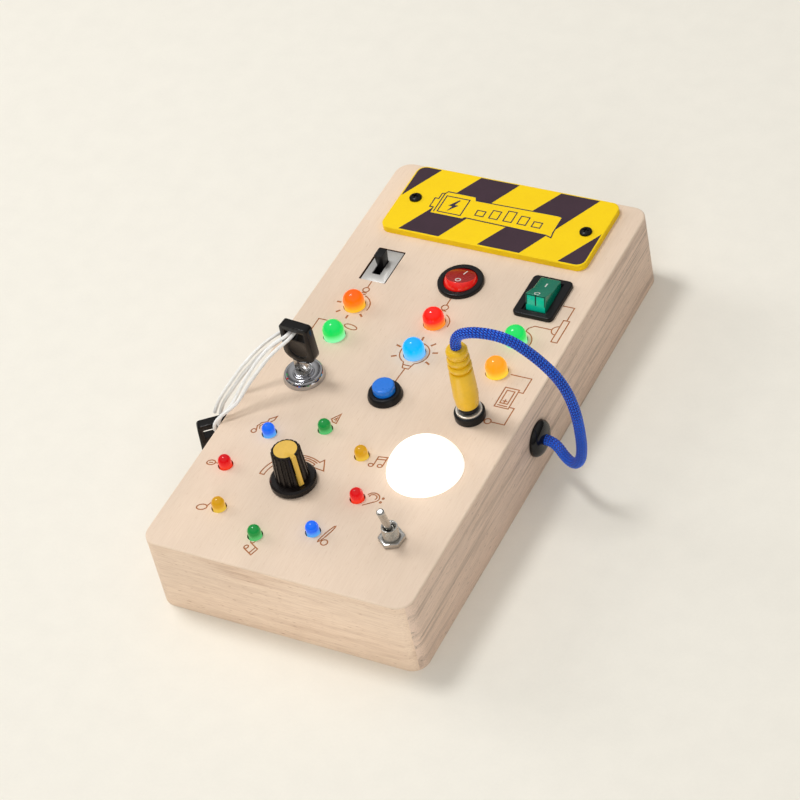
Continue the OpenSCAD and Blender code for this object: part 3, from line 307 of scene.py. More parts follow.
# %% The string of the keys
STRING_R, LOBE, LOBES, AROUND = 0.7, 0.05, 4, 24
lobes = [STRING_R + LOBE * math.cos(LOBES * math.tau * i / AROUND) for i in range(AROUND)]
string_section = section_curve("string_section", lobes)
string_mesh = swept("key_cord", [string_line], section=string_section, turn_every=2.6)
bpy.data.objects.remove(string_section)
string = to_object("key_cord", string_mesh, body=None, smooth_below=80)
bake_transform(string)
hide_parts("key_string")
print("string:", len(string_mesh.polygons), "faces")

# %% [markdown]
# ## Finishes
# A finish is a Principled shader fed by a few effects. Three effects are used again and again,
# so each is a node group: the grain of wood, the slight mottle of moulded plastic and paint, and
# the fine scuffs of metal. They read the piece's own coordinates, which stay with it as it moves.

# %% Small helpers for shader nodes
def add(tree, kind, **values):
    """Adds a node. A value is put into the socket or the property of that name; a socket is
    linked. Names like in0 stand for sockets by number."""
    node = tree.nodes.new("ShaderNode" + kind)
    for key, value in values.items():
        if hasattr(node, key):
            setattr(node, key, value)
            continue
        socket = node.inputs[int(key[2:])] if key[:2] == "in" else node.inputs[key.replace("_", " ")]
        if isinstance(value, bpy.types.NodeSocket):
            tree.links.new(value, socket)
        else:
            socket.default_value = value
    return node


def mixed(tree, factor, a, b, blend="MIX"):
    """The colour between a and b, by a factor."""
    node = tree.nodes.new("ShaderNodeMix")
    node.data_type = "RGBA"
    node.blend_type = blend
    for socket, value in ((node.inputs[0], factor), (node.inputs[6], a), (node.inputs[7], b)):
        if isinstance(value, bpy.types.NodeSocket):
            tree.links.new(value, socket)
        else:
            socket.default_value = value
    return node.outputs[2]


def ranged(tree, value, low, high, to_low, to_high):
    """A value taken from one range to another, and held at its ends."""
    return add(tree, "MapRange", Value=value, From_Min=low, From_Max=high,
               To_Min=to_low, To_Max=to_high).outputs[0]


def times(tree, a, b):
    return add(tree, "Math", operation="MULTIPLY", in0=a, in1=b).outputs[0]


def effect(name, inputs, outputs):
    """An empty node group with named inputs and outputs."""
    group = bpy.data.node_groups.new(name, "ShaderNodeTree")
    for label, kind, value in inputs:
        socket = group.interface.new_socket(label, in_out="INPUT", socket_type="NodeSocket" + kind)
        if value is not None:
            socket.default_value = value
    for label, kind in outputs:
        group.interface.new_socket(label, in_out="OUTPUT", socket_type="NodeSocket" + kind)
    return group, group.nodes.new("NodeGroupInput").outputs, group.nodes.new("NodeGroupOutput").inputs


def placed(tree, group, **values):
    """A node group placed in a material with its own values."""
    node = tree.nodes.new("ShaderNodeGroup")
    node.node_tree = group
    for key, value in values.items():
        socket = node.inputs[key.replace("_", " ")]
        if isinstance(value, bpy.types.NodeSocket):
            tree.links.new(value, socket)
        else:
            socket.default_value = value
    return node


# %% [markdown]
# Wood is pale earlywood with darker streaks along the grain, fine fibres, short dark pores and
# a slow change of tone. Each is noise that is stretched along one direction, here x.

# %% Wood grain
wood_grain, given, out = effect(
    "wood grain",
    [("Vector", "Vector", None), ("Pale", "Color", (0.8, 0.7, 0.6, 1)),
     ("Dark", "Color", (0.5, 0.3, 0.2, 1)), ("Streaks", "Float", 0.4), ("Fibres", "Float", 0.3),
     ("Pores", "Float", 0.4)],
    [("Color", "Color"), ("Height", "Float")])
layers = {}
for layer, scale, detail, distortion in (
        ("streak", (9, 150, 150), 3, 0.9), ("line", (14, 520, 520), 2, 0.4),
        ("fibre", (130, 2100, 2100), 4, 0.2), ("pore", (330, 2600, 2600), 1, 0.0),
        ("cloud", (16, 30, 30), 2, 0.3)):
    stretched = add(wood_grain, "Mapping", Vector=given["Vector"], Scale=scale).outputs[0]
    layers[layer] = add(wood_grain, "TexNoise", Vector=stretched, Scale=1.0, Detail=detail,
                        Distortion=distortion).outputs[0]
streak = ranged(wood_grain, layers["streak"], 0.52, 0.76, 0, 1)
line = ranged(wood_grain, layers["line"], 0.56, 0.74, 0, 1)
both = add(wood_grain, "Math", operation="ADD", in0=times(wood_grain, streak, 0.45),
           in1=times(wood_grain, times(wood_grain, line, streak), 0.9), use_clamp=True).outputs[0]
tone = mixed(wood_grain, times(wood_grain, both, given["Streaks"]), given["Pale"], given["Dark"])
fibre = times(wood_grain, ranged(wood_grain, layers["fibre"], 0.35, 0.75, 0, 1), given["Fibres"])
tone = mixed(wood_grain, times(wood_grain, fibre, 0.5), tone, given["Dark"])
pore = times(wood_grain, ranged(wood_grain, layers["pore"], 0.66, 0.8, 0, 1), given["Pores"])
tone = mixed(wood_grain, pore, tone, given["Dark"])
cloud = ranged(wood_grain, layers["cloud"], 0.3, 0.7, 0.93, 1.05)
wood_grain.links.new(mixed(wood_grain, 1.0, tone, cloud, "MULTIPLY"), out["Color"])
rough = add(wood_grain, "Math", operation="SUBTRACT", in0=layers["fibre"], in1=pore).outputs[0]
wood_grain.links.new(rough, out["Height"])
print("wood grain:", len(wood_grain.nodes), "nodes")

# %% Mottle and scuffs
mottle, given, out = effect("mottle", [("Vector", "Vector", None), ("Scale", "Float", 900.0)],
                            [("Mask", "Float"), ("Height", "Float")])
broad = add(mottle, "TexNoise", Vector=given["Vector"], Scale=95.0, Detail=3.0).outputs[0]
fine = add(mottle, "TexNoise", Vector=given["Vector"], Scale=given["Scale"], Detail=3.0).outputs[0]
both = add(mottle, "Math", operation="ADD", in0=times(mottle, broad, 0.6), in1=times(mottle, fine, 0.4))
mottle.links.new(ranged(mottle, both.outputs[0], 0.35, 0.65, 0, 1), out["Mask"])
mottle.links.new(fine, out["Height"])

scuffs, given, out = effect("scuffs", [("Vector", "Vector", None), ("Amount", "Float", 0.5)],
                            [("Mask", "Float")])
marks = None
for turn, scale in ((0.4, (60, 2400, 900)), (1.9, (90, 2900, 1100))):
    laid = add(scuffs, "Mapping", Vector=given["Vector"], Rotation=(0.3, turn, turn), Scale=scale)
    noise = add(scuffs, "TexNoise", Vector=laid.outputs[0], Scale=1.0, Detail=1.0).outputs[0]
    mark = ranged(scuffs, noise, 0.64, 0.72, 0, 1)
    marks = mark if marks is None else add(scuffs, "Math", operation="MAXIMUM", in0=marks,
                                           in1=mark).outputs[0]
scuffs.links.new(times(scuffs, marks, given["Amount"]), out["Mask"])
print("effects ready")

# %% [markdown]
# One function makes every plain finish: a colour that wavers a little, a roughness that mottle
# and scuffs break up, and a bump too small to see as a shape. Values that are the same all over
# are set on the shader itself.

# %% A plain finish
def finish(name, colour, rough, metallic=0.0, tone=0.08, scale=900.0, bump=0.12, wear=0.3, **shader):
    """A material of one colour with mottle, scuffs and a fine bump."""
    material = bpy.data.materials.new(name)
    material.use_nodes = True
    tree = material.node_tree
    principled = tree.nodes["Principled BSDF"]
    place = add(tree, "TexCoord").outputs["Object"]
    spots = placed(tree, mottle, Vector=place, Scale=scale)
    marks = placed(tree, scuffs, Vector=place, Amount=wear).outputs["Mask"]
    darker = tuple(c * (1 - tone) for c in colour[:3]) + (1,)
    lighter = tuple(min(1, c * (1 + tone)) for c in colour[:3]) + (1,)
    tree.links.new(mixed(tree, spots.outputs["Mask"], darker, lighter), principled.inputs["Base Color"])
    roughness = ranged(tree, spots.outputs["Mask"], 0, 1, max(0.02, rough - 0.05), rough + 0.06)
    roughness = add(tree, "Math", operation="ADD", in0=roughness, in1=times(tree, marks, 0.18))
    tree.links.new(roughness.outputs[0], principled.inputs["Roughness"])
    raised = add(tree, "Bump", Strength=bump, Distance=0.00005, Height=spots.outputs["Height"])
    tree.links.new(raised.outputs[0], principled.inputs["Normal"])
    principled.inputs["Metallic"].default_value = metallic
    for key, value in shader.items():
        principled.inputs[key.replace("_", " ")].default_value = value
    return material


def wood_finish(name, pale, dark, along, streaks, fibres, pores, rough=0.62, close=1.0):
    """A wood finish with its grain along an axis of the board, and how close its streaks lie."""
    material = bpy.data.materials.new(name)
    material.use_nodes = True
    tree = material.node_tree
    principled = tree.nodes["Principled BSDF"]
    place = add(tree, "TexCoord").outputs["Object"]
    turn = (0, 0, 0) if along == "x" else (0, 0, math.pi / 2)
    scale = (1, close, close) if along == "x" else (close, 1, close)
    laid = add(tree, "Mapping", Vector=place, Rotation=turn, Scale=scale).outputs[0]
    grain = placed(tree, wood_grain, Vector=laid, Pale=pale, Dark=dark, Streaks=streaks,
                   Fibres=fibres, Pores=pores)
    tree.links.new(grain.outputs["Color"], principled.inputs["Base Color"])
    tree.links.new(ranged(tree, grain.outputs["Height"], 0, 1, rough + 0.08, rough - 0.08),
                   principled.inputs["Roughness"])
    raised = add(tree, "Bump", Strength=0.22, Distance=0.00012, Height=grain.outputs["Height"])
    tree.links.new(raised.outputs[0], principled.inputs["Normal"])
    principled.inputs["Specular IOR Level"].default_value = 0.3
    return material


def glow_finish(name, low, middle, high, z_low, z_high, strength, rough=0.16):
    """A lamp: plastic that glows, in colours that change from its foot to its top. A lit lamp's glow
    is its own light, and an unlit lamp's glow is painted light for the light coming through it.
    Its own colour is kept dark, so that what is seen is the glow and the highlights."""
    dark = tuple(c * 0.3 for c in middle[:3]) + (1,)
    material = finish(name, dark, rough, tone=0.03, bump=0.02, wear=0.0, Specular_IOR_Level=0.2,
                      Coat_Weight=0.5, Coat_Roughness=0.07, Emission_Strength=strength)
    tree = material.node_tree
    place = add(tree, "TexCoord").outputs["Object"]
    height = add(tree, "SeparateXYZ", Vector=place).outputs["Z"]
    ramp = add(tree, "ValToRGB", Fac=ranged(tree, height, z_low * MM, z_high * MM, 0, 1))
    ramp.color_ramp.elements[0].color = low
    ramp.color_ramp.elements[1].color = high
    ramp.color_ramp.elements.new(0.45).color = middle
    tree.links.new(ramp.outputs["Color"], tree.nodes["Principled BSDF"].inputs["Emission Color"])
    return material


print("finish makers ready")

# %% Woods
PALE = shade(236, 214, 192)
wood_top = wood_finish("wood_top", PALE, shade(204, 172, 142), "y", 0.16, 0.36, 0.5)
wood_front = wood_finish("wood_front", shade(246, 222, 198), shade(172, 126, 92), "x", 0.75, 0.5, 0.6)
wood_side = wood_finish("wood_side", shade(242, 216, 196), shade(128, 104, 88), "y", 1.2, 0.6, 0.9,
                        close=2.1)
wood_inside = wood_finish("wood_inside", shade(226, 200, 170), shade(170, 120, 80), "y", 0.5, 0.5, 0.5)
burnt = wood_finish("burnt_line", shade(192, 124, 74), shade(140, 84, 50), "y", 0.6, 0.9, 0.9, 0.8)
scorched = wood_finish("scorched_wood", shade(96, 58, 36), shade(44, 26, 18), "y", 0.6, 0.9, 0.9, 0.85)
print("woods ready")

# %% Plastics, rubber, metals and paint
def tinted_painted_glow(name, colour, glow, strength, rough=0.2, tone=0.12, coat=0.6):
    """Clear tinted plastic, with a painted glow that stands in for the light coming through it."""
    return finish(name, colour, rough, tone=tone, bump=0.05, Coat_Weight=coat, Emission_Color=glow,
                  Emission_Strength=strength)


def black(name, colour, rough, bump, specular, **more):
    """A black with a mottled tone."""
    return finish(name, colour, rough, tone=0.25, bump=bump, Specular_IOR_Level=specular, **more)


black_plastic = black("black_plastic", shade(20, 20, 22), 0.34, 0.12, 0.25, scale=1500.0)
black_satin = black("black_satin", shade(12, 10, 10), 0.15, 0.05, 0.3, wear=0.15)
black_rubber = black("black_rubber", shade(15, 15, 17), 0.18, 0.05, 0.35, wear=0.15)
knob_plastic = black("knob_plastic", shade(22, 17, 16), 0.26, 0.08, 0.3, wear=0.15)
black_screw = finish("black_screw", shade(24, 24, 26), 0.3, metallic=0.6, tone=0.2, bump=0.1)
plated = finish("plated_steel", shade(196, 194, 190), 0.26, metallic=1.0, tone=0.08, bump=0.1, wear=0.6)
face_plate = finish("grained_plate", shade(214, 212, 208), 0.36, metallic=0.6, tone=0.12, scale=2600.0,
                    bump=0.6)
chrome = finish("bright_chrome", shade(186, 186, 190), 0.12, metallic=1.0, tone=0.05, bump=0.0, wear=0.0)
silver = finish("silver_ring", shade(236, 232, 224), 0.34, metallic=0.7, tone=0.05, bump=0.05)
brass = finish("brass_contact", shade(205, 170, 100), 0.3, metallic=1.0, tone=0.1)
# The rockers' clear plastic gets a small painted glow, for the light that comes through it
red_painted_glow = tinted_painted_glow("red_translucent", shade(214, 30, 24), shade(190, 14, 8), 0.5)
# A darker, less glowing copy of the red for the button's top face: painted shade
red_top_painted_shade = tinted_painted_glow("red_top_painted_shade", shade(150, 18, 16), shade(110, 6, 6), 0.3, 0.26, 0.1, 0.4)
green_painted_glow = tinted_painted_glow("green_translucent", shade(8, 112, 88), shade(0, 80, 60), 0.3)
green_dark = finish("dark_green", shade(4, 62, 50), 0.3, tone=0.1, Specular_IOR_Level=0.3)
# A brighter, more glowing copy of the green for the rocker's front wall: painted light
teal_painted_light = tinted_painted_glow("teal_front_painted_light", shade(20, 170, 140), shade(0, 150, 120), 0.5, tone=0.1)
blue_plastic = finish("blue_plastic", shade(22, 122, 230), 0.3, tone=0.06, Coat_Weight=0.2)
yellow_plastic = finish("yellow_plastic", shade(240, 190, 22), 0.3, tone=0.06, bump=0.1, Coat_Weight=0.3)
knob_yellow = finish("knob_yellow", shade(230, 186, 78), 0.4, tone=0.06, bump=0.15)
sign_yellow = finish("yellow_paint", shade(255, 214, 6), 0.5, tone=0.03, bump=0.2, Specular_IOR_Level=0.25)
sign_black = finish("dark_print", shade(66, 48, 58), 0.55, tone=0.1, Specular_IOR_Level=0.2)
print_line = finish("navy_print", shade(44, 36, 60), 0.5, tone=0.1)
white_mark = finish("white_mark", shade(225, 225, 220), 0.45, tone=0.05)
board_green = finish("board_green", shade(26, 96, 52), 0.35, tone=0.15)
cell_wrap = finish("cell_wrap", shade(60, 70, 84), 0.35, tone=0.1)
wire_red = finish("wire_red", shade(190, 36, 30), 0.4, tone=0.1)
switch_blue = finish("switch_blue", shade(36, 62, 140), 0.4, tone=0.1)
lock_red = finish("red_dot", shade(190, 20, 24), 0.4, tone=0.1)
print("plain finishes ready")

# %% Lamps
LAMP = (TOP + 0.4, TOP + 7.1)
SMALL = (TOP, TOP + 4.8)
# The glow of each lamp at its foot, in its middle and at its top
LIT = {
    "orange": ((255, 196, 40), (255, 120, 0), (246, 84, 0), 0.92),
    "red": ((255, 150, 40), (250, 30, 12), (240, 26, 20), 0.95),
    "green": ((150, 250, 180), (20, 216, 86), (30, 210, 100), 0.95),
    "blue": ((120, 190, 255), (0, 186, 255), (20, 160, 250), 0.95),
    "amber": ((255, 214, 60), (248, 160, 20), (244, 150, 36), 0.95),
}
# Unlit lamps get a painted glow too, brighter at the foot, for the light that comes through their clear
# plastic
UNLIT_PAINTED_GLOW = {
    "red": ((255, 70, 40), (232, 8, 18), (200, 6, 14), 0.8),
    "blue": ((110, 190, 255), (20, 104, 244), (24, 110, 246), 0.8),
    "amber": ((250, 210, 80), (214, 156, 12), (206, 150, 20), 0.78),
    "green": ((110, 220, 130), (20, 146, 62), (22, 140, 62), 0.75),
}


def lamp_finishes(kind, table, heights, rough):
    """One glowing finish for each colour in a table."""
    return {colour: glow_finish(f"lamp_{colour}_{kind}", *(shade(*c) for c in tones), *heights,
                                strength, rough)
            for colour, (*tones, strength) in table.items()}


lit = lamp_finishes("lit", LIT, LAMP, 0.16)
unlit_painted_glow = lamp_finishes("unlit_painted_glow", UNLIT_PAINTED_GLOW, SMALL, 0.12)
dome_white = finish("lamp_white", shade(255, 253, 246), 0.3, tone=0.01, bump=0.03, Coat_Weight=0.3,
                    Emission_Color=shade(255, 252, 244), Emission_Strength=0.7)
print("lamp finishes:", len(lit) + len(unlit_painted_glow) + 1)

# %% [markdown]
# ## Cloth of the cords
# Textile reads as many fine threads, so its bump and colour change over a fraction of a
# millimetre, and it has a soft sheen at its edges.

# %% Cord finishes
blue_braid = finish("blue_braid", shade(2, 34, 146), 0.28, tone=0.25, scale=3200.0, bump=0.4, wear=0.0,
                    Sheen_Weight=0.1, Sheen_Roughness=0.4)
white_string = finish("white_string", shade(254, 252, 247), 0.85, tone=0.05, scale=3600.0, bump=0.6,
                      wear=0.0, Sheen_Weight=0.5)
# A lighter blue that paints the highlights on the braid's crossings
braid_painted_highlight = finish("braid_painted_highlight", shade(36, 112, 240), 0.2, tone=0.15, scale=3200.0, bump=0.3,
                     wear=0.0, Sheen_Weight=0.1)
lead.data.materials.append(blue_braid)
lead.data.materials.append(braid_painted_highlight)
string.data.materials.append(white_string)

# %% [markdown]
# ## A finish for every CAD node
# A node whose shape is right keeps it and only gets its finish.

# %% Finishes of the nodes
NODE_FINISH = {
    wood_front: ["wall_front", "wall_back"],
    wood_side: ["wall_left", "wall_right"],
    wood_top: ["top_panel"],
    wood_inside: ["base_panel", "corner_blocks"],
    black_plastic: ["battery_hatch", "battery_holder", "slide_switch_body", "slide_switch_lever",
                    "round_rocker_housing", "rect_rocker_housing", "push_button_housing",
                    "jack_socket", "plug_collar"],
    black_satin: ["key_head", "spare_key_head"],
    black_rubber: ["lead_grommet", "plug_lead"],
    knob_plastic: ["knob_body"],
    black_screw: ["wood_screws"],
    face_plate: ["slide_switch_plate"],
    plated: ["push_button_nut", "key_lock_nut", "rotary_switch_body",
             "rotary_switch_nut", "rotary_shaft", "plug_pin", "push_button_spring", "key_blade",
             "spare_key_blade", "toggle_bushing", "toggle_nut", "toggle_lever"],
    chrome: ["key_lock_barrel", "key_lock_core"],
    silver: ["jack_ring"],
    brass: ["battery_contacts"],
    red_painted_glow: ["round_rocker_button"],
    green_painted_glow: ["rect_rocker_button"],
    blue_plastic: ["push_button_cap"],
    yellow_plastic: ["plug_handle"],
    knob_yellow: ["knob_disc"],
    sign_yellow: ["sign_plate"],
    white_string: ["key_string"],
    board_green: ["circuit_board"],
    cell_wrap: ["battery_cells"],
    wire_red: ["wiring"],
    switch_blue: ["toggle_switch_body"],
    dome_white: ["dome_lamp"],
}
for colour, material in lit.items():
    NODE_FINISH[material] = ["big_lamp_" + colour]
for colour, material in unlit_painted_glow.items():
    NODE_FINISH[material] = ["small_lamp_" + colour]


def give(piece, *materials):
    """Gives a piece its finishes in place of what it has."""
    piece.data.materials.clear()
    for material in materials:
        piece.data.materials.append(material)


for material, names in NODE_FINISH.items():
    for name in names:
        give(frame["nodes"][name], material)
left = set(frame["nodes"]) - {n for names in NODE_FINISH.values() for n in names}
print("nodes without a finish:", sorted(left))

# %% [markdown]
# ## Softened edges
# No real edge is sharp. A copy of a CAD node is merged and its flat faces are joined up again,
# and then a bevel rounds every sharp edge by the node's own width. The copy stands for its node.

# %% Copies with softened edges
SHARP = math.radians(35)
FLAT = math.radians(0.6)


def merged_copy(node):
    """A bmesh of a CAD node with its loose triangles joined."""
    bm = bmesh.new()
    bm.from_mesh(frame["nodes"][node].data)
    for layer in list(bm.loops.layers.uv.values()):
        bm.loops.layers.uv.remove(layer)
    bmesh.ops.remove_doubles(bm, verts=bm.verts, dist=2e-6)
    bmesh.ops.dissolve_limit(bm, angle_limit=FLAT, verts=bm.verts, edges=bm.edges)
    return bm


def round_edges(bm, width):
    """Rounds every edge where two faces turn by more than the sharp angle."""
    sharp = [e for e in bm.edges if len(e.link_faces) == 2 and e.calc_face_angle(0) > SHARP]
    bmesh.ops.bevel(bm, geom=sharp, offset=width * MM, offset_type="OFFSET", affect="EDGES",
                    segments=2, profile=0.5, material=-1, clamp_overlap=True)


def stand_in(node, bm, suffix):
    """Ends a bmesh as the piece that stands for a node and rides and looks as it does."""
    piece = from_bmesh(node + suffix, bm, frame["nodes"][node]["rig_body"])
    give(piece, *frame["nodes"][node].data.materials)
    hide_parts(node)
    return piece


def softened(node, width):
    """A copy of a node with its edges rounded, which stands for it."""
    bm = merged_copy(node)
    round_edges(bm, width)
    return stand_in(node, bm, "_soft")


SOFTEN = {
    "wall_front": 0.08, "wall_back": 0.08, "wall_left": 0.08, "wall_right": 0.08,
    "battery_hatch": 0.3, "slide_switch_plate": 0.1, "slide_switch_lever": 0.15,
    "rect_rocker_button": 0.35, "round_rocker_button": 0.2, "key_head": 0.5, "spare_key_head": 0.5,
    "key_blade": 0.12, "spare_key_blade": 0.12, "toggle_nut": 0.25, "toggle_lever": 0.15,
    "plug_handle": 0.2, "plug_collar": 0.25, "jack_socket": 0.2, "push_button_housing": 0.2,
    "push_button_cap": 0.15, "key_lock_core": 0.12, "knob_disc": 0.15, "round_rocker_housing": 0.15,
    "lead_grommet": 0.15,
}
soft = {node: softened(node, width) for node, width in SOFTEN.items()}
print("softened", len(soft), "nodes")

# %% [markdown]
# Polished round pieces show every flat of a CAD circle, so three of them are turned again from a
# profile of radius and height: the lock's barrel with its dished rim, the ring of the jack, and
# the toggle's bushing with the rings of its thread.

# %% Turned pieces
ROUND_STEPS = 120


def turned_piece(node, profile, place, width):
    """A round piece about an upright axis, which stands for a node."""
    bm = bmesh.new()
    verts = [bm.verts.new((r * MM, 0, z * MM)) for r, z in profile]
    edges = [bm.edges.new(pair) for pair in zip(verts, verts[1:] + verts[:1])]
    bmesh.ops.spin(bm, geom=verts + edges, cent=(0, 0, 0), axis=(0, 0, 1), angle=math.tau,
                   steps=ROUND_STEPS, use_merge=True)
    bmesh.ops.remove_doubles(bm, verts=bm.verts, dist=1e-7)
    bmesh.ops.recalc_face_normals(bm, faces=bm.faces)
    round_edges(bm, width)
    bmesh.ops.translate(bm, verts=bm.verts, vec=Vector((*place, TOP)) * MM)
    return stand_in(node, bm, "_turned")


LOCK_AT, JACK_AT, TOGGLE_AT = (-35.4, -14.7), (35.3, -15.3), (34.8, -79.7)
barrel = [(3.55, -12), (5.8, -12), (5.8, 0), (8.2, 0), (8.2, 0.5), (7.7, 2.2), (7.2, 2.8), (6.6, 2.8),
          (6.2, 2.3), (5.3, 1.75), (4.5, 1.6), (4.15, 1.7), (3.95, 2.6), (3.55, 2.6)]
turned_piece("key_lock_barrel", barrel, LOCK_AT, 0.12)
jack_ring = [(1.8, 2.4), (5.0, 2.4), (5.0, 4.2), (4.3, 4.2), (4.0, 4.0), (1.8, 4.0)]
turned_piece("jack_ring", jack_ring, JACK_AT, 0.12)
thread = [(2.93 if i % 2 else 3.1, 0.3 * i) for i in range(1, 22)]
bushing = [(2.05, -3), (3.1, -3), (3.1, 0), *thread, (3.1, 6.6), (3.0, 7.1), (2.6, 7.1), (2.05, 6.6)]
turned_piece("toggle_bushing", bushing, TOGGLE_AT, 0.04)
print("turned 3 pieces")

# %% [markdown]
# Both rockers stand tilted by half their travel. The red one's top face gets a darker copy of its
# red with less painted glow, as painted shade. The green one's front end gets a brighter copy with
# more painted glow, as painted light where light comes through it. Such faces are told apart by the
# way they point.

# %% Faces of the rockers
TILT = math.radians(16)


def refinish(piece, material, points_to, within):
    """Gives another finish to the faces that point within some degrees of a direction."""
    piece.data.materials.append(material)
    toward = Vector(points_to).normalized()
    count = 0
    for face in piece.data.polygons:
        if face.normal.angle(toward, math.pi) < math.radians(within):
            face.material_index = len(piece.data.materials) - 1
            count += 1
    return count


up = (0, math.sin(TILT), math.cos(TILT))
front = (0, -math.cos(TILT), math.sin(TILT))
print("round button's face:", refinish(soft["round_rocker_button"], red_top_painted_shade, up, 4), "faces")
print("rocker's front wall:", refinish(soft["rect_rocker_button"], teal_painted_light, front, 12), "faces")

# %% [markdown]
# ## Engraving
# The lines on the board are burnt in by a laser: shallow grooves with brown walls. Each line
# is drawn as a path, raised to a thin wall, given the line's width with Solidify, and cut out
# of a copy of the top panel with Boolean, which keeps the cutter's brown on the groove.

# %% Paths of the engraving
LINE_W = 0.5
RAY_W = 0.8
GROOVE = 0.15


def arc(cx, cy, r, a, b, n=14, squash=1.0):
    """Points along an arc, in degrees."""
    angles = [math.radians(a + (b - a) * i / n) for i in range(n + 1)]
    return [(cx + r * math.cos(t), cy + squash * r * math.sin(t)) for t in angles]


def turned_path(points, cx, cy, degrees, scale=1.0):
    """A path drawn about 0, 0, then turned, scaled and moved to a place."""
    c, s = math.cos(math.radians(degrees)) * scale, math.sin(math.radians(degrees)) * scale
    return [(cx + x * c - y * s, cy + x * s + y * c) for x, y in points]


def ring(cx, cy, r, n=14, squash=1.0):
    return arc(cx, cy, r, 0, 360, n, squash)


def rays(x, y, angles, near=6.9, far=9.1):
    """Short rays round a lamp."""
    return [[(x + r * math.cos(math.radians(a)), y + r * math.sin(math.radians(a)))
             for r in (near, far)] for a in angles]


paths = []
ray_paths = []
# The orange lamp is the glass of a bulb that hangs from the slide switch
paths += [[(-34.2, 40.6), (-34.2, 36.5)], ring(-34.2, 35.2, 1.3), [(-35.3, 33.5), (-33.1, 33.5)],
          [(-35.3, 32.6), (-33.1, 32.6)], arc(-34.6, 26.1, 6.1, 74, -14, 12)]
ray_paths += rays(-34.6, 26.1, (180, 225, 270, 318), 5.9, 7.8)
# The red lamp hangs from the round button
paths += [[(0.5, 40.0), (0.5, 36.3)], ring(0.5, 34.9, 1.4), [(-0.7, 33.1), (1.9, 33.1)],
          arc(0.2, 26.1, 5.9, 64, -8, 12)]
# The blue lamp is a bulb whose screw cap points at the push button
paths += [arc(0.2, 8.7, 5.8, 292, 608, 34), [(-1.9, 3.3), (-0.9, 0.2), (1.7, 0.2), (2.5, 3.4)],
          [(-1.5, 1.9), (2.1, 1.9)], [(0.3, 0.2), (-0.2, -7.8)]]
ray_paths += rays(0.2, 8.7, (17, 51, 93, 130, 166, 207, 334))
# The green rocker's wire runs through a fan to the green lamp
paths += [[(44.2, 48.7), (49.2, 48.7), (49.2, 41.4)],
          [(47.9, 41.4), (50.4, 41.4), (50.4, 29.4), (47.9, 29.4), (47.9, 41.4)],
          arc(47.9, 35.4, 2.3, 90, 270, 10), [(45.6, 35.4), (38.6, 35.4), (36.6, 33.6), (36.4, 31.9)],
          arc(35.0, 26.1, 5.9, 78, -50, 16)]
# The amber lamp's wire runs through a battery in its holder to the jack
paths += [[(40.6, 9.0), (49.3, 9.0), (49.3, 1.2), (47.3, 1.2)],
          [(41.6, 2.3), (47.3, 2.3), (47.3, -7.9), (41.6, -7.9), (41.6, 2.3)],
          [(42.9, 1.0), (46.0, 1.0), (46.0, -5.7), (42.9, -5.7), (42.9, 1.0)],
          [(43.5, -4.5), (45.4, -4.5)], [(44.45, -3.6), (44.45, -5.4)], [(42.4, -6.9), (46.5, -6.9)],
          [(47.3, -7.0), (49.4, -7.0), (49.4, -15.8), (44.0, -15.8)], ring(42.6, -15.8, 1.3)]
# A leaf and a wire beside the left green lamp
paths += [turned_path(ring(0, 0, 2.9, 16, 0.4), -30.5, 14.6, -10),
          [(-44.9, 5.4), (-44.9, 15.3), (-40.4, 15.3)]]

# An arrow shows which way the knob turns
KNOB_X, KNOB_Y = -14.45, -65.45


def at(radius, degrees):
    """A point round the knob."""
    return (KNOB_X + radius * math.cos(math.radians(degrees)),
            KNOB_Y + radius * math.sin(math.radians(degrees)))


band = arc(KNOB_X, KNOB_Y, 13.2, 180, 63, 28) + [at(15.2, 61.5), at(12.6, 41.5), at(9.9, 64)]
paths += [band + arc(KNOB_X, KNOB_Y, 11.4, 66, 180, 28) + [band[0]],
          arc(KNOB_X, KNOB_Y, 12.3, 96, 64, 8)]

# Plain notes stand beside the small lamps
PAIR = [ring(-1.9, -2.4, 0.95, 12, 0.8), ring(1.6, -1.9, 0.95, 12, 0.8),
        [(-0.9, -2.3), (-0.9, 2.2), (2.6, 2.8), (2.6, -1.9)], [(-0.9, 0.9), (2.6, 1.5)]]
HOOK = [arc(-0.3, 0.8, 2.5, 176, -40, 20, 0.85) + [(-1.9, -4.2)],
        arc(-0.4, 0.9, 1.5, 200, -36, 14, 0.8), ring(3.4, 1.9, 0.35, 8), ring(3.5, -0.1, 0.35, 8)]
CLEF = [ring(-2.6, -2.9, 1.0, 12), [(-1.8, -2.3), (-2.5, -0.2), (-1.5, 1.8), (0.6, 3.0)],
        [(-0.9, -1.4), (-1.5, 0.1), (-0.6, 1.2), (0.9, 2.0)],
        [(0.3, 2.6), (0.3, 4.3), (2.6, 6.4), (2.4, 4.2), (0.9, 2.2), (0.3, 2.6)]]
for shapes, x, y, degrees, scale in ((PAIR, 12.4, -46.6, 0, 1.0), (PAIR, -12.6, -98.8, -118, 0.95),
                                     (HOOK, 19.0, -64.2, -8, 1.0), (CLEF, -37.9, -43.6, 0, 1.0)):
    paths += [turned_path(shape, x, y, degrees, scale) for shape in shapes]
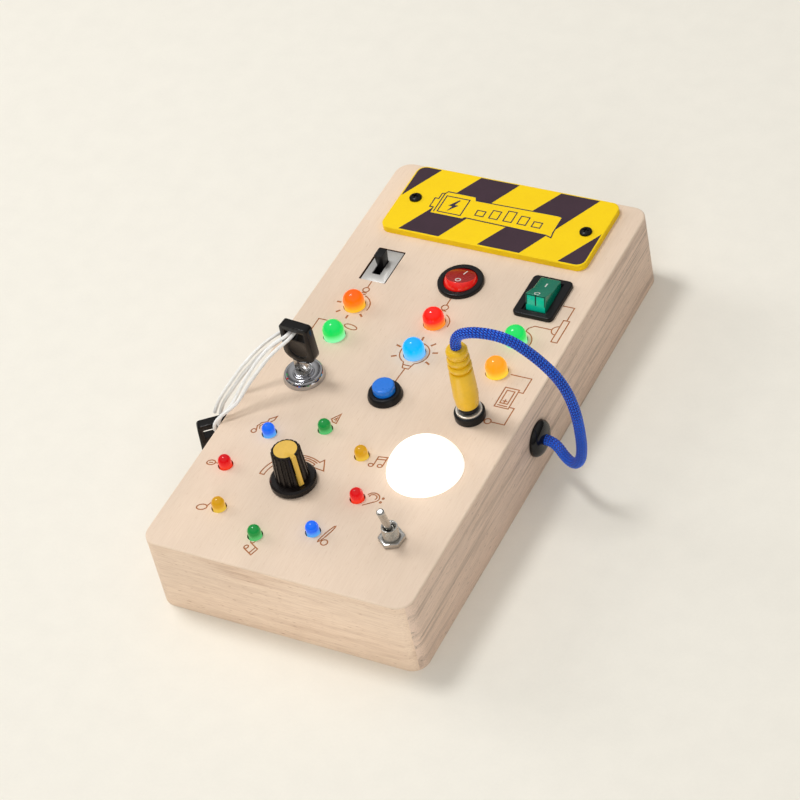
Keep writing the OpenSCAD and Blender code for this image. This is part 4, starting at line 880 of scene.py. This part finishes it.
paths += [turned_path(ring(0, 0, 1.7, 14, 0.7), -48.2, -66.0, 18), [(-49.0, -66.2), (-47.4, -65.8)],
          [(-46.6, -65.7), (-45.3, -65.6)],
          turned_path(ring(0, 0, 2.0, 14, 0.66), -40.5, -87.0, 22),
          [(-38.8, -86.0), (-38.0, -83.4), (-37.0, -83.9)],
          turned_path(ring(0, 0, 4.6, 20, 0.13), 10.6, -84.6, 72), ring(11.6, -88.6, 1.3),
          [(-14.6, -32.2), (-12.2, -28.9), (-11.8, -33.8), (-13.5, -33.5), (-14.6, -32.2)],
          [(-13.5, -32.3), (-12.7, -31.1), (-12.6, -32.9)]]
print("engraved paths:", len(paths), "rays:", len(ray_paths))

# %% [markdown]
# Solidify gives every wall the width of a line, to both sides. The same walls serve twice: deep
# ones cut the board, and low ones are the printed outlines of the sign.

# %% Lines as walls, and the engraved board
def line_walls(name, lines, width, low, high):
    """A mesh of narrow walls that follow lines on the plan."""
    bm = bmesh.new()
    for points in lines:
        closed = math.dist(points[0], points[-1]) < 1e-6
        verts = [bm.verts.new((x * MM, y * MM, low * MM)) for x, y in points[:-1 if closed else None]]
        for a, b in zip(verts, verts[1:] + (verts[:1] if closed else [])):
            bm.edges.new((a, b))
    raised = bmesh.ops.extrude_edge_only(bm, edges=list(bm.edges))["geom"]
    bmesh.ops.translate(bm, verts=[g for g in raised if isinstance(g, bmesh.types.BMVert)],
                        vec=(0, 0, (high - low) * MM))
    bmesh.ops.recalc_face_normals(bm, faces=bm.faces)
    mesh = bpy.data.meshes.new(name)
    bm.to_mesh(mesh)
    bm.free()
    holder = bpy.data.objects.new(name, mesh)
    bpy.context.scene.collection.objects.link(holder)
    thick = holder.modifiers.new("width", "SOLIDIFY")
    thick.thickness = width * MM
    thick.offset = 0
    thick.use_even_offset = True
    thick.thickness_clamp = 0
    return holder


def cut_from(piece, cutter):
    """Cuts a shape out of a piece, takes the cutter away and gives back the new mesh."""
    cut = piece.modifiers.new("cut", "BOOLEAN")
    cut.object = cutter
    cut.operation = "DIFFERENCE"
    cut.solver = "EXACT"
    cut.use_self = True
    cut.material_mode = "TRANSFER"
    mesh = evaluated_mesh(piece, piece.name)
    bpy.data.objects.remove(cutter)
    bpy.data.objects.remove(piece)
    return mesh


bm = merged_copy("top_panel")
bmesh.ops.recalc_face_normals(bm, faces=bm.faces)
board_mesh = bpy.data.meshes.new("whole_panel")
bm.to_mesh(board_mesh)
bm.free()
board_mesh.materials.append(wood_top)
for lines, width in ((paths, LINE_W), (ray_paths, RAY_W)):
    panel = bpy.data.objects.new("panel", board_mesh)
    bpy.context.scene.collection.objects.link(panel)
    cutter = line_walls("cutter", lines, width, TOP - GROOVE, TOP + 0.4)
    give(cutter, burnt)
    board_mesh = cut_from(panel, cutter)
print("board:", len(board_mesh.polygons), "faces, materials", [m.name for m in board_mesh.materials])

# %% [markdown]
# The openings were cut by the same laser, so their walls are scorched too. The panel's outer
# edges take the wood of the board below them.

# %% Scorched openings
# No opening reaches further from the middle than this, across and along the board
REACH_X, REACH_Y = 52.0, 105.0
FIRST = len(board_mesh.materials)
for material in (scorched, wood_side, wood_front):
    board_mesh.materials.append(material)
for face in board_mesh.polygons:
    if abs(face.normal.z) > 0.2 or face.material_index:
        continue
    x, y = face.center.xy / MM
    if abs(x) < REACH_X and abs(y) < REACH_Y:
        face.material_index = FIRST
    else:
        face.material_index = FIRST + (1 if abs(face.normal.x) > 0.7 else 2)
top_board = to_object("top_board", board_mesh, "root", 30)
for face in board_mesh.polygons:
    face.use_smooth = abs(face.normal.z) < 0.99
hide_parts("top_panel")
print("scorched faces:", sum(f.material_index == FIRST for f in board_mesh.polygons))

# %% [markdown]
# ## Print on the sign
# The sign is a yellow plate with printed stripes. The field inside its rim is one flat face that
# is cut along the stripes' slanted edges, and the pieces between the stripes are taken out.

# %% Stripes of the sign
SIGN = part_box("sign_plate")
sign_top = SIGN[1][2] / MM
sign_x = SIGN[1][0] / MM
sign_front, sign_back = SIGN[0][1] / MM, SIGN[1][1] / MM
RIM = 0.9
PRINT = 0.05
# Each stripe's edges, as x at the sign's back edge and at its front edge
STRIPES = [(-34.2, -54.0, -70.0, -90.0), (0.6, -18.9, -16.0, -36.3), (35.7, 16.3, 19.3, -1.6),
           (90.0, 70.0, 54.4, 33.2)]


def rounded_field(half_x, y0, y1, r):
    """The outline of a rounded rectangle across the board's middle line."""
    corners = ((half_x - r, y1 - r, 0), (-half_x + r, y1 - r, 90), (-half_x + r, y0 + r, 180),
               (half_x - r, y0 + r, 270))
    return [p for x, y, a in corners for p in arc(x, y, r, a, a + 90, 6)]


def slab(name, outlines, low, high):
    """Flat shapes of one thickness, from their outlines."""
    bm = bmesh.new()
    for outline in outlines:
        bm.faces.new([bm.verts.new((x * MM, y * MM, low * MM)) for x, y in outline])
    sides = bmesh.ops.extrude_face_region(bm, geom=list(bm.faces))["geom"]
    bmesh.ops.translate(bm, verts=[g for g in sides if isinstance(g, bmesh.types.BMVert)],
                        vec=(0, 0, (high - low) * MM))
    return from_bmesh(name, bm, smooth_below=30)


def printed_lines(name, lines, width, height):
    """Raised lines of ink on the sign."""
    walls = line_walls(name, lines, width, sign_top, sign_top + height)
    mesh = evaluated_mesh(walls, name)
    bpy.data.objects.remove(walls)
    give(to_object(name, mesh, smooth_below=30), print_line)


def field_between(outline, left_back, left_front, right_back, right_front):
    """The part of an outline between two slanted lines across the sign."""
    bm = bmesh.new()
    bm.faces.new([bm.verts.new((x * MM, y * MM, 0)) for x, y in outline])
    for back, front, side in ((left_back, left_front, 1), (right_back, right_front, -1)):
        normal = Vector((sign_back - sign_front, front - back, 0)) * side
        bmesh.ops.bisect_plane(bm, geom=list(bm.verts) + list(bm.edges) + list(bm.faces),
                               plane_co=(back * MM, sign_back * MM, 0), plane_no=normal, clear_inner=True)
    shape = [[(v.co.x / MM, v.co.y / MM) for v in f.verts] for f in bm.faces]
    bm.free()
    return shape


field = rounded_field(sign_x - RIM, sign_front + RIM, sign_back - RIM, 3.2)
stripes = []
for right_back, right_front, left_back, left_front in STRIPES:
    stripes += field_between(field, left_back, left_front, right_back, right_front)
give(slab("sign_stripes", stripes, sign_top, sign_top + PRINT), sign_black)
printed_lines("stripe_outlines", [s + s[:1] for s in stripes], 0.3, PRINT * 1.3)
print("stripes:", len(stripes))

# %% [markdown]
# In its middle the sign has a plain badge: a battery with a bolt, and a row of bars.

# %% Badge of the sign
BADGE = [(-29.6, 84.0), (-28.0, 84.0), (-28.0, 80.6), (-13.6, 80.6), (-12.8, 81.6), (22.8, 81.0),
         (25.4, 80.2), (25.0, 83.0), (25.0, 92.2), (23.0, 92.6), (-12.6, 92.0), (-13.6, 94.0),
         (-26.0, 94.0), (-26.6, 92.8), (-28.0, 92.4), (-28.0, 89.2), (-29.6, 89.2)]
CELL = [(-25.4, 82.2), (-15.2, 82.2), (-15.2, 91.6), (-25.4, 91.6), (-25.4, 82.2)]
BOLT = [(-19.4, 90.4), (-22.4, 86.4), (-20.7, 86.4), (-21.8, 83.2), (-18.2, 87.4), (-20.0, 87.4),
        (-18.6, 90.4)]
BARS = [[(x, 84.0), (x + 3.6, 84.0), (x + 3.6, y), (x, y)]
        for x, y in ((-9.6, 87.0), (-3.4, 88.6), (2.8, 90.0), (9.0, 88.6), (15.2, 87.0))]
give(slab("badge_field", [BADGE], sign_top, sign_top + PRINT * 1.6), sign_yellow)
lines = [BADGE + BADGE[:1], CELL, [(-26.8, 93.0), (-26.8, 81.6)]] + [b + b[:1] for b in BARS]
printed_lines("badge_outlines", lines, 0.5, PRINT * 2)
give(slab("badge_bolt", [BOLT], sign_top, sign_top + PRINT * 2), print_line)
print("badge ready")

# %% [markdown]
# ## Details of the switches
# The end of the green rocker shows two panels, bright with painted light, between darker ribs.
# Each rib is a thin bar, drawn where the rocker stands level and then tilted with it. A red dot on
# the lock's rim shows where the key's turn begins.

# %% Ribs of the green rocker and the dot of the lock
RECT_AT = (35.65, 49.6)
PIVOT = Vector((*RECT_AT, TOP - 0.5))
ROCKER = (8.4, 14.0, 6.15)
RIB = 0.16
DOT_R = 0.42
DOT_AT = (6.9, math.radians(236))


def bar(bm, centre, size):
    """Adds a box to a bmesh."""
    made = bmesh.ops.create_cube(bm, size=MM)
    bmesh.ops.scale(bm, vec=size, verts=made["verts"])
    bmesh.ops.translate(bm, vec=Vector(centre) * MM, verts=made["verts"])


bm = bmesh.new()
half, end, high = ROCKER[0] / 2, -ROCKER[1] / 2 - 0.05, ROCKER[2]
for x, width in ((-half + 0.45, 0.3), (0, 0.5), (half - 0.45, 0.3)):
    bar(bm, (x, end, high / 2 + 0.6), (width, RIB, high - 1.6))
bar(bm, (0, end, high - 0.5), (ROCKER[0] - 0.6, RIB, 0.35))
bmesh.ops.rotate(bm, verts=bm.verts, cent=(0, 0, 0), matrix=Matrix.Rotation(-TILT, 3, "X"))
bmesh.ops.translate(bm, verts=bm.verts, vec=PIVOT * MM)
give(from_bmesh("rocker_ribs", bm, frame["nodes"]["rect_rocker_button"]["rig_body"]), green_dark)

bm = bmesh.new()
bmesh.ops.create_uvsphere(bm, u_segments=16, v_segments=8, radius=DOT_R * MM)
radius, angle = DOT_AT
dot_at = Vector((LOCK_AT[0] + radius * math.cos(angle), LOCK_AT[1] + radius * math.sin(angle),
                 TOP + 2.75))
bmesh.ops.translate(bm, verts=bm.verts, vec=dot_at * MM)
give(from_bmesh("lock_dot", bm), lock_red)
print("ribs and dot ready")

# %% [markdown]
# ## Marks on moving pieces
# A mark is drawn flat above its piece and let down on to the surface: every point is moved to
# where a ray from above meets the piece.

# %% Marks laid on a surface
LIFT = 0.05


def laid_on(name, node, mark):
    """Lets a flat mark down on to a node and rides it on the node's body."""
    source = frame["nodes"][node]
    tree = BVHTree.FromPolygons([v.co.copy() for v in source.data.vertices],
                                [tuple(p.vertices) for p in source.data.polygons])
    mesh = evaluated_mesh(mark, name)
    bpy.data.objects.remove(mark)
    floor_z = min(v.co.z for v in mesh.vertices)
    for v in mesh.vertices:
        hit = tree.ray_cast(Vector((v.co.x, v.co.y, 0.2)), Vector((0, 0, -1)))[0]
        if hit is not None:
            v.co.z = hit.z + (LIFT if v.co.z > floor_z + 1e-6 else -LIFT) * MM
    give(to_object(name, mesh, source["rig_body"], 40), white_mark)


def fine(points):
    """A path with a point every 0.4 or so, to follow a curved surface."""
    result = []
    for (x0, y0), (x1, y1) in zip(points, points[1:]):
        n = max(1, round(math.dist((x0, y0), (x1, y1)) / 0.4))
        result += [(x0 + (x1 - x0) * i / n, y0 + (y1 - y0) * i / n) for i in range(n)]
    return result + [points[-1]]


round_x, round_y = 0.5, 49.3
rect_x, rect_y = RECT_AT
# The node, path and line width of each mark
MARKS = {
    "round_mark_out": ("round_rocker_button", ring(round_x + 0.5, round_y - 2.4, 1.0, 16), 0.4),
    "round_mark_on": ("round_rocker_button",
                      [(round_x + 0.5, round_y + 2.2), (round_x + 0.8, round_y + 5.0)], 0.42),
    "rect_mark_on": ("rect_rocker_button", [(rect_x, rect_y + 3.0), (rect_x, rect_y + 5.0)], 0.5),
    "rect_mark_out": ("rect_rocker_button", ring(rect_x, rect_y - 3.6, 1.0, 16), 0.35),
}
for name, (node, path, width) in MARKS.items():
    laid_on(name, node, line_walls(name, [fine(path)], width, 60, 60.4))
print("marks laid on the two rockers")

# %% [markdown]
# ## Floor and lights
# The board lies on a plain pale floor. A small lamp high above and to the left gives every lamp
# its highlight and the short shadows at the lower right. Two broad lamps, which polished pieces
# don't mirror, fill in from the left and from the front, and the right side stays darker.

# %% Floor, lights and world
floor_mesh = bpy.data.meshes.new("floor")
reach = 6.0
corners = [(-reach, -reach, 0), (reach, -reach, 0), (reach, reach, 0), (-reach, reach, 0)]
floor_mesh.from_pydata(corners, [], [(0, 1, 2, 3)])
floor = bpy.data.objects.new("floor", floor_mesh)
bpy.context.scene.collection.objects.link(floor)
give(floor, finish("floor_paint", shade(243, 239, 228), 0.75, tone=0.015, bump=0.1, wear=0.0))


def area_light(name, toward, distance, size, power):
    """A round lamp in a direction from the board, which it faces."""
    data = bpy.data.lights.new(name, "AREA")
    data.shape = "DISK"
    data.size = size
    data.energy = power
    lamp = bpy.data.objects.new(name, data)
    direction = Vector(toward).normalized()
    lamp.location = direction * distance
    lamp.rotation_euler = direction.to_track_quat("Z", "Y").to_euler()
    bpy.context.scene.collection.objects.link(lamp)
    return lamp


area_light("key", (-0.34, 0.06, 0.94), 1.3, 0.32, 5.5)
area_light("left_soft", (-0.82, 0.1, 0.42), 3.0, 1.3, 22).visible_glossy = False
area_light("front_fill", (0.3, -0.88, 0.36), 1.6, 1.2, 8).visible_glossy = False
world = bpy.data.worlds.new("world")
world.use_nodes = True
world_tree = world.node_tree
direction = add(world_tree, "TexCoord").outputs["Generated"]
height = add(world_tree, "SeparateXYZ", Vector=direction).outputs["Z"]
sky = mixed(world_tree, ranged(world_tree, height, 0.1, 0.75, 0, 1), shade(96, 92, 88),
            shade(252, 250, 247))
world_tree.links.new(sky, world_tree.nodes["Background"].inputs["Color"])
world_tree.nodes["Background"].inputs["Strength"].default_value = 0.62
bpy.context.scene.world = world
bpy.context.scene.view_settings.view_transform = "Standard"
print("floor, 3 lamps and a pale world")
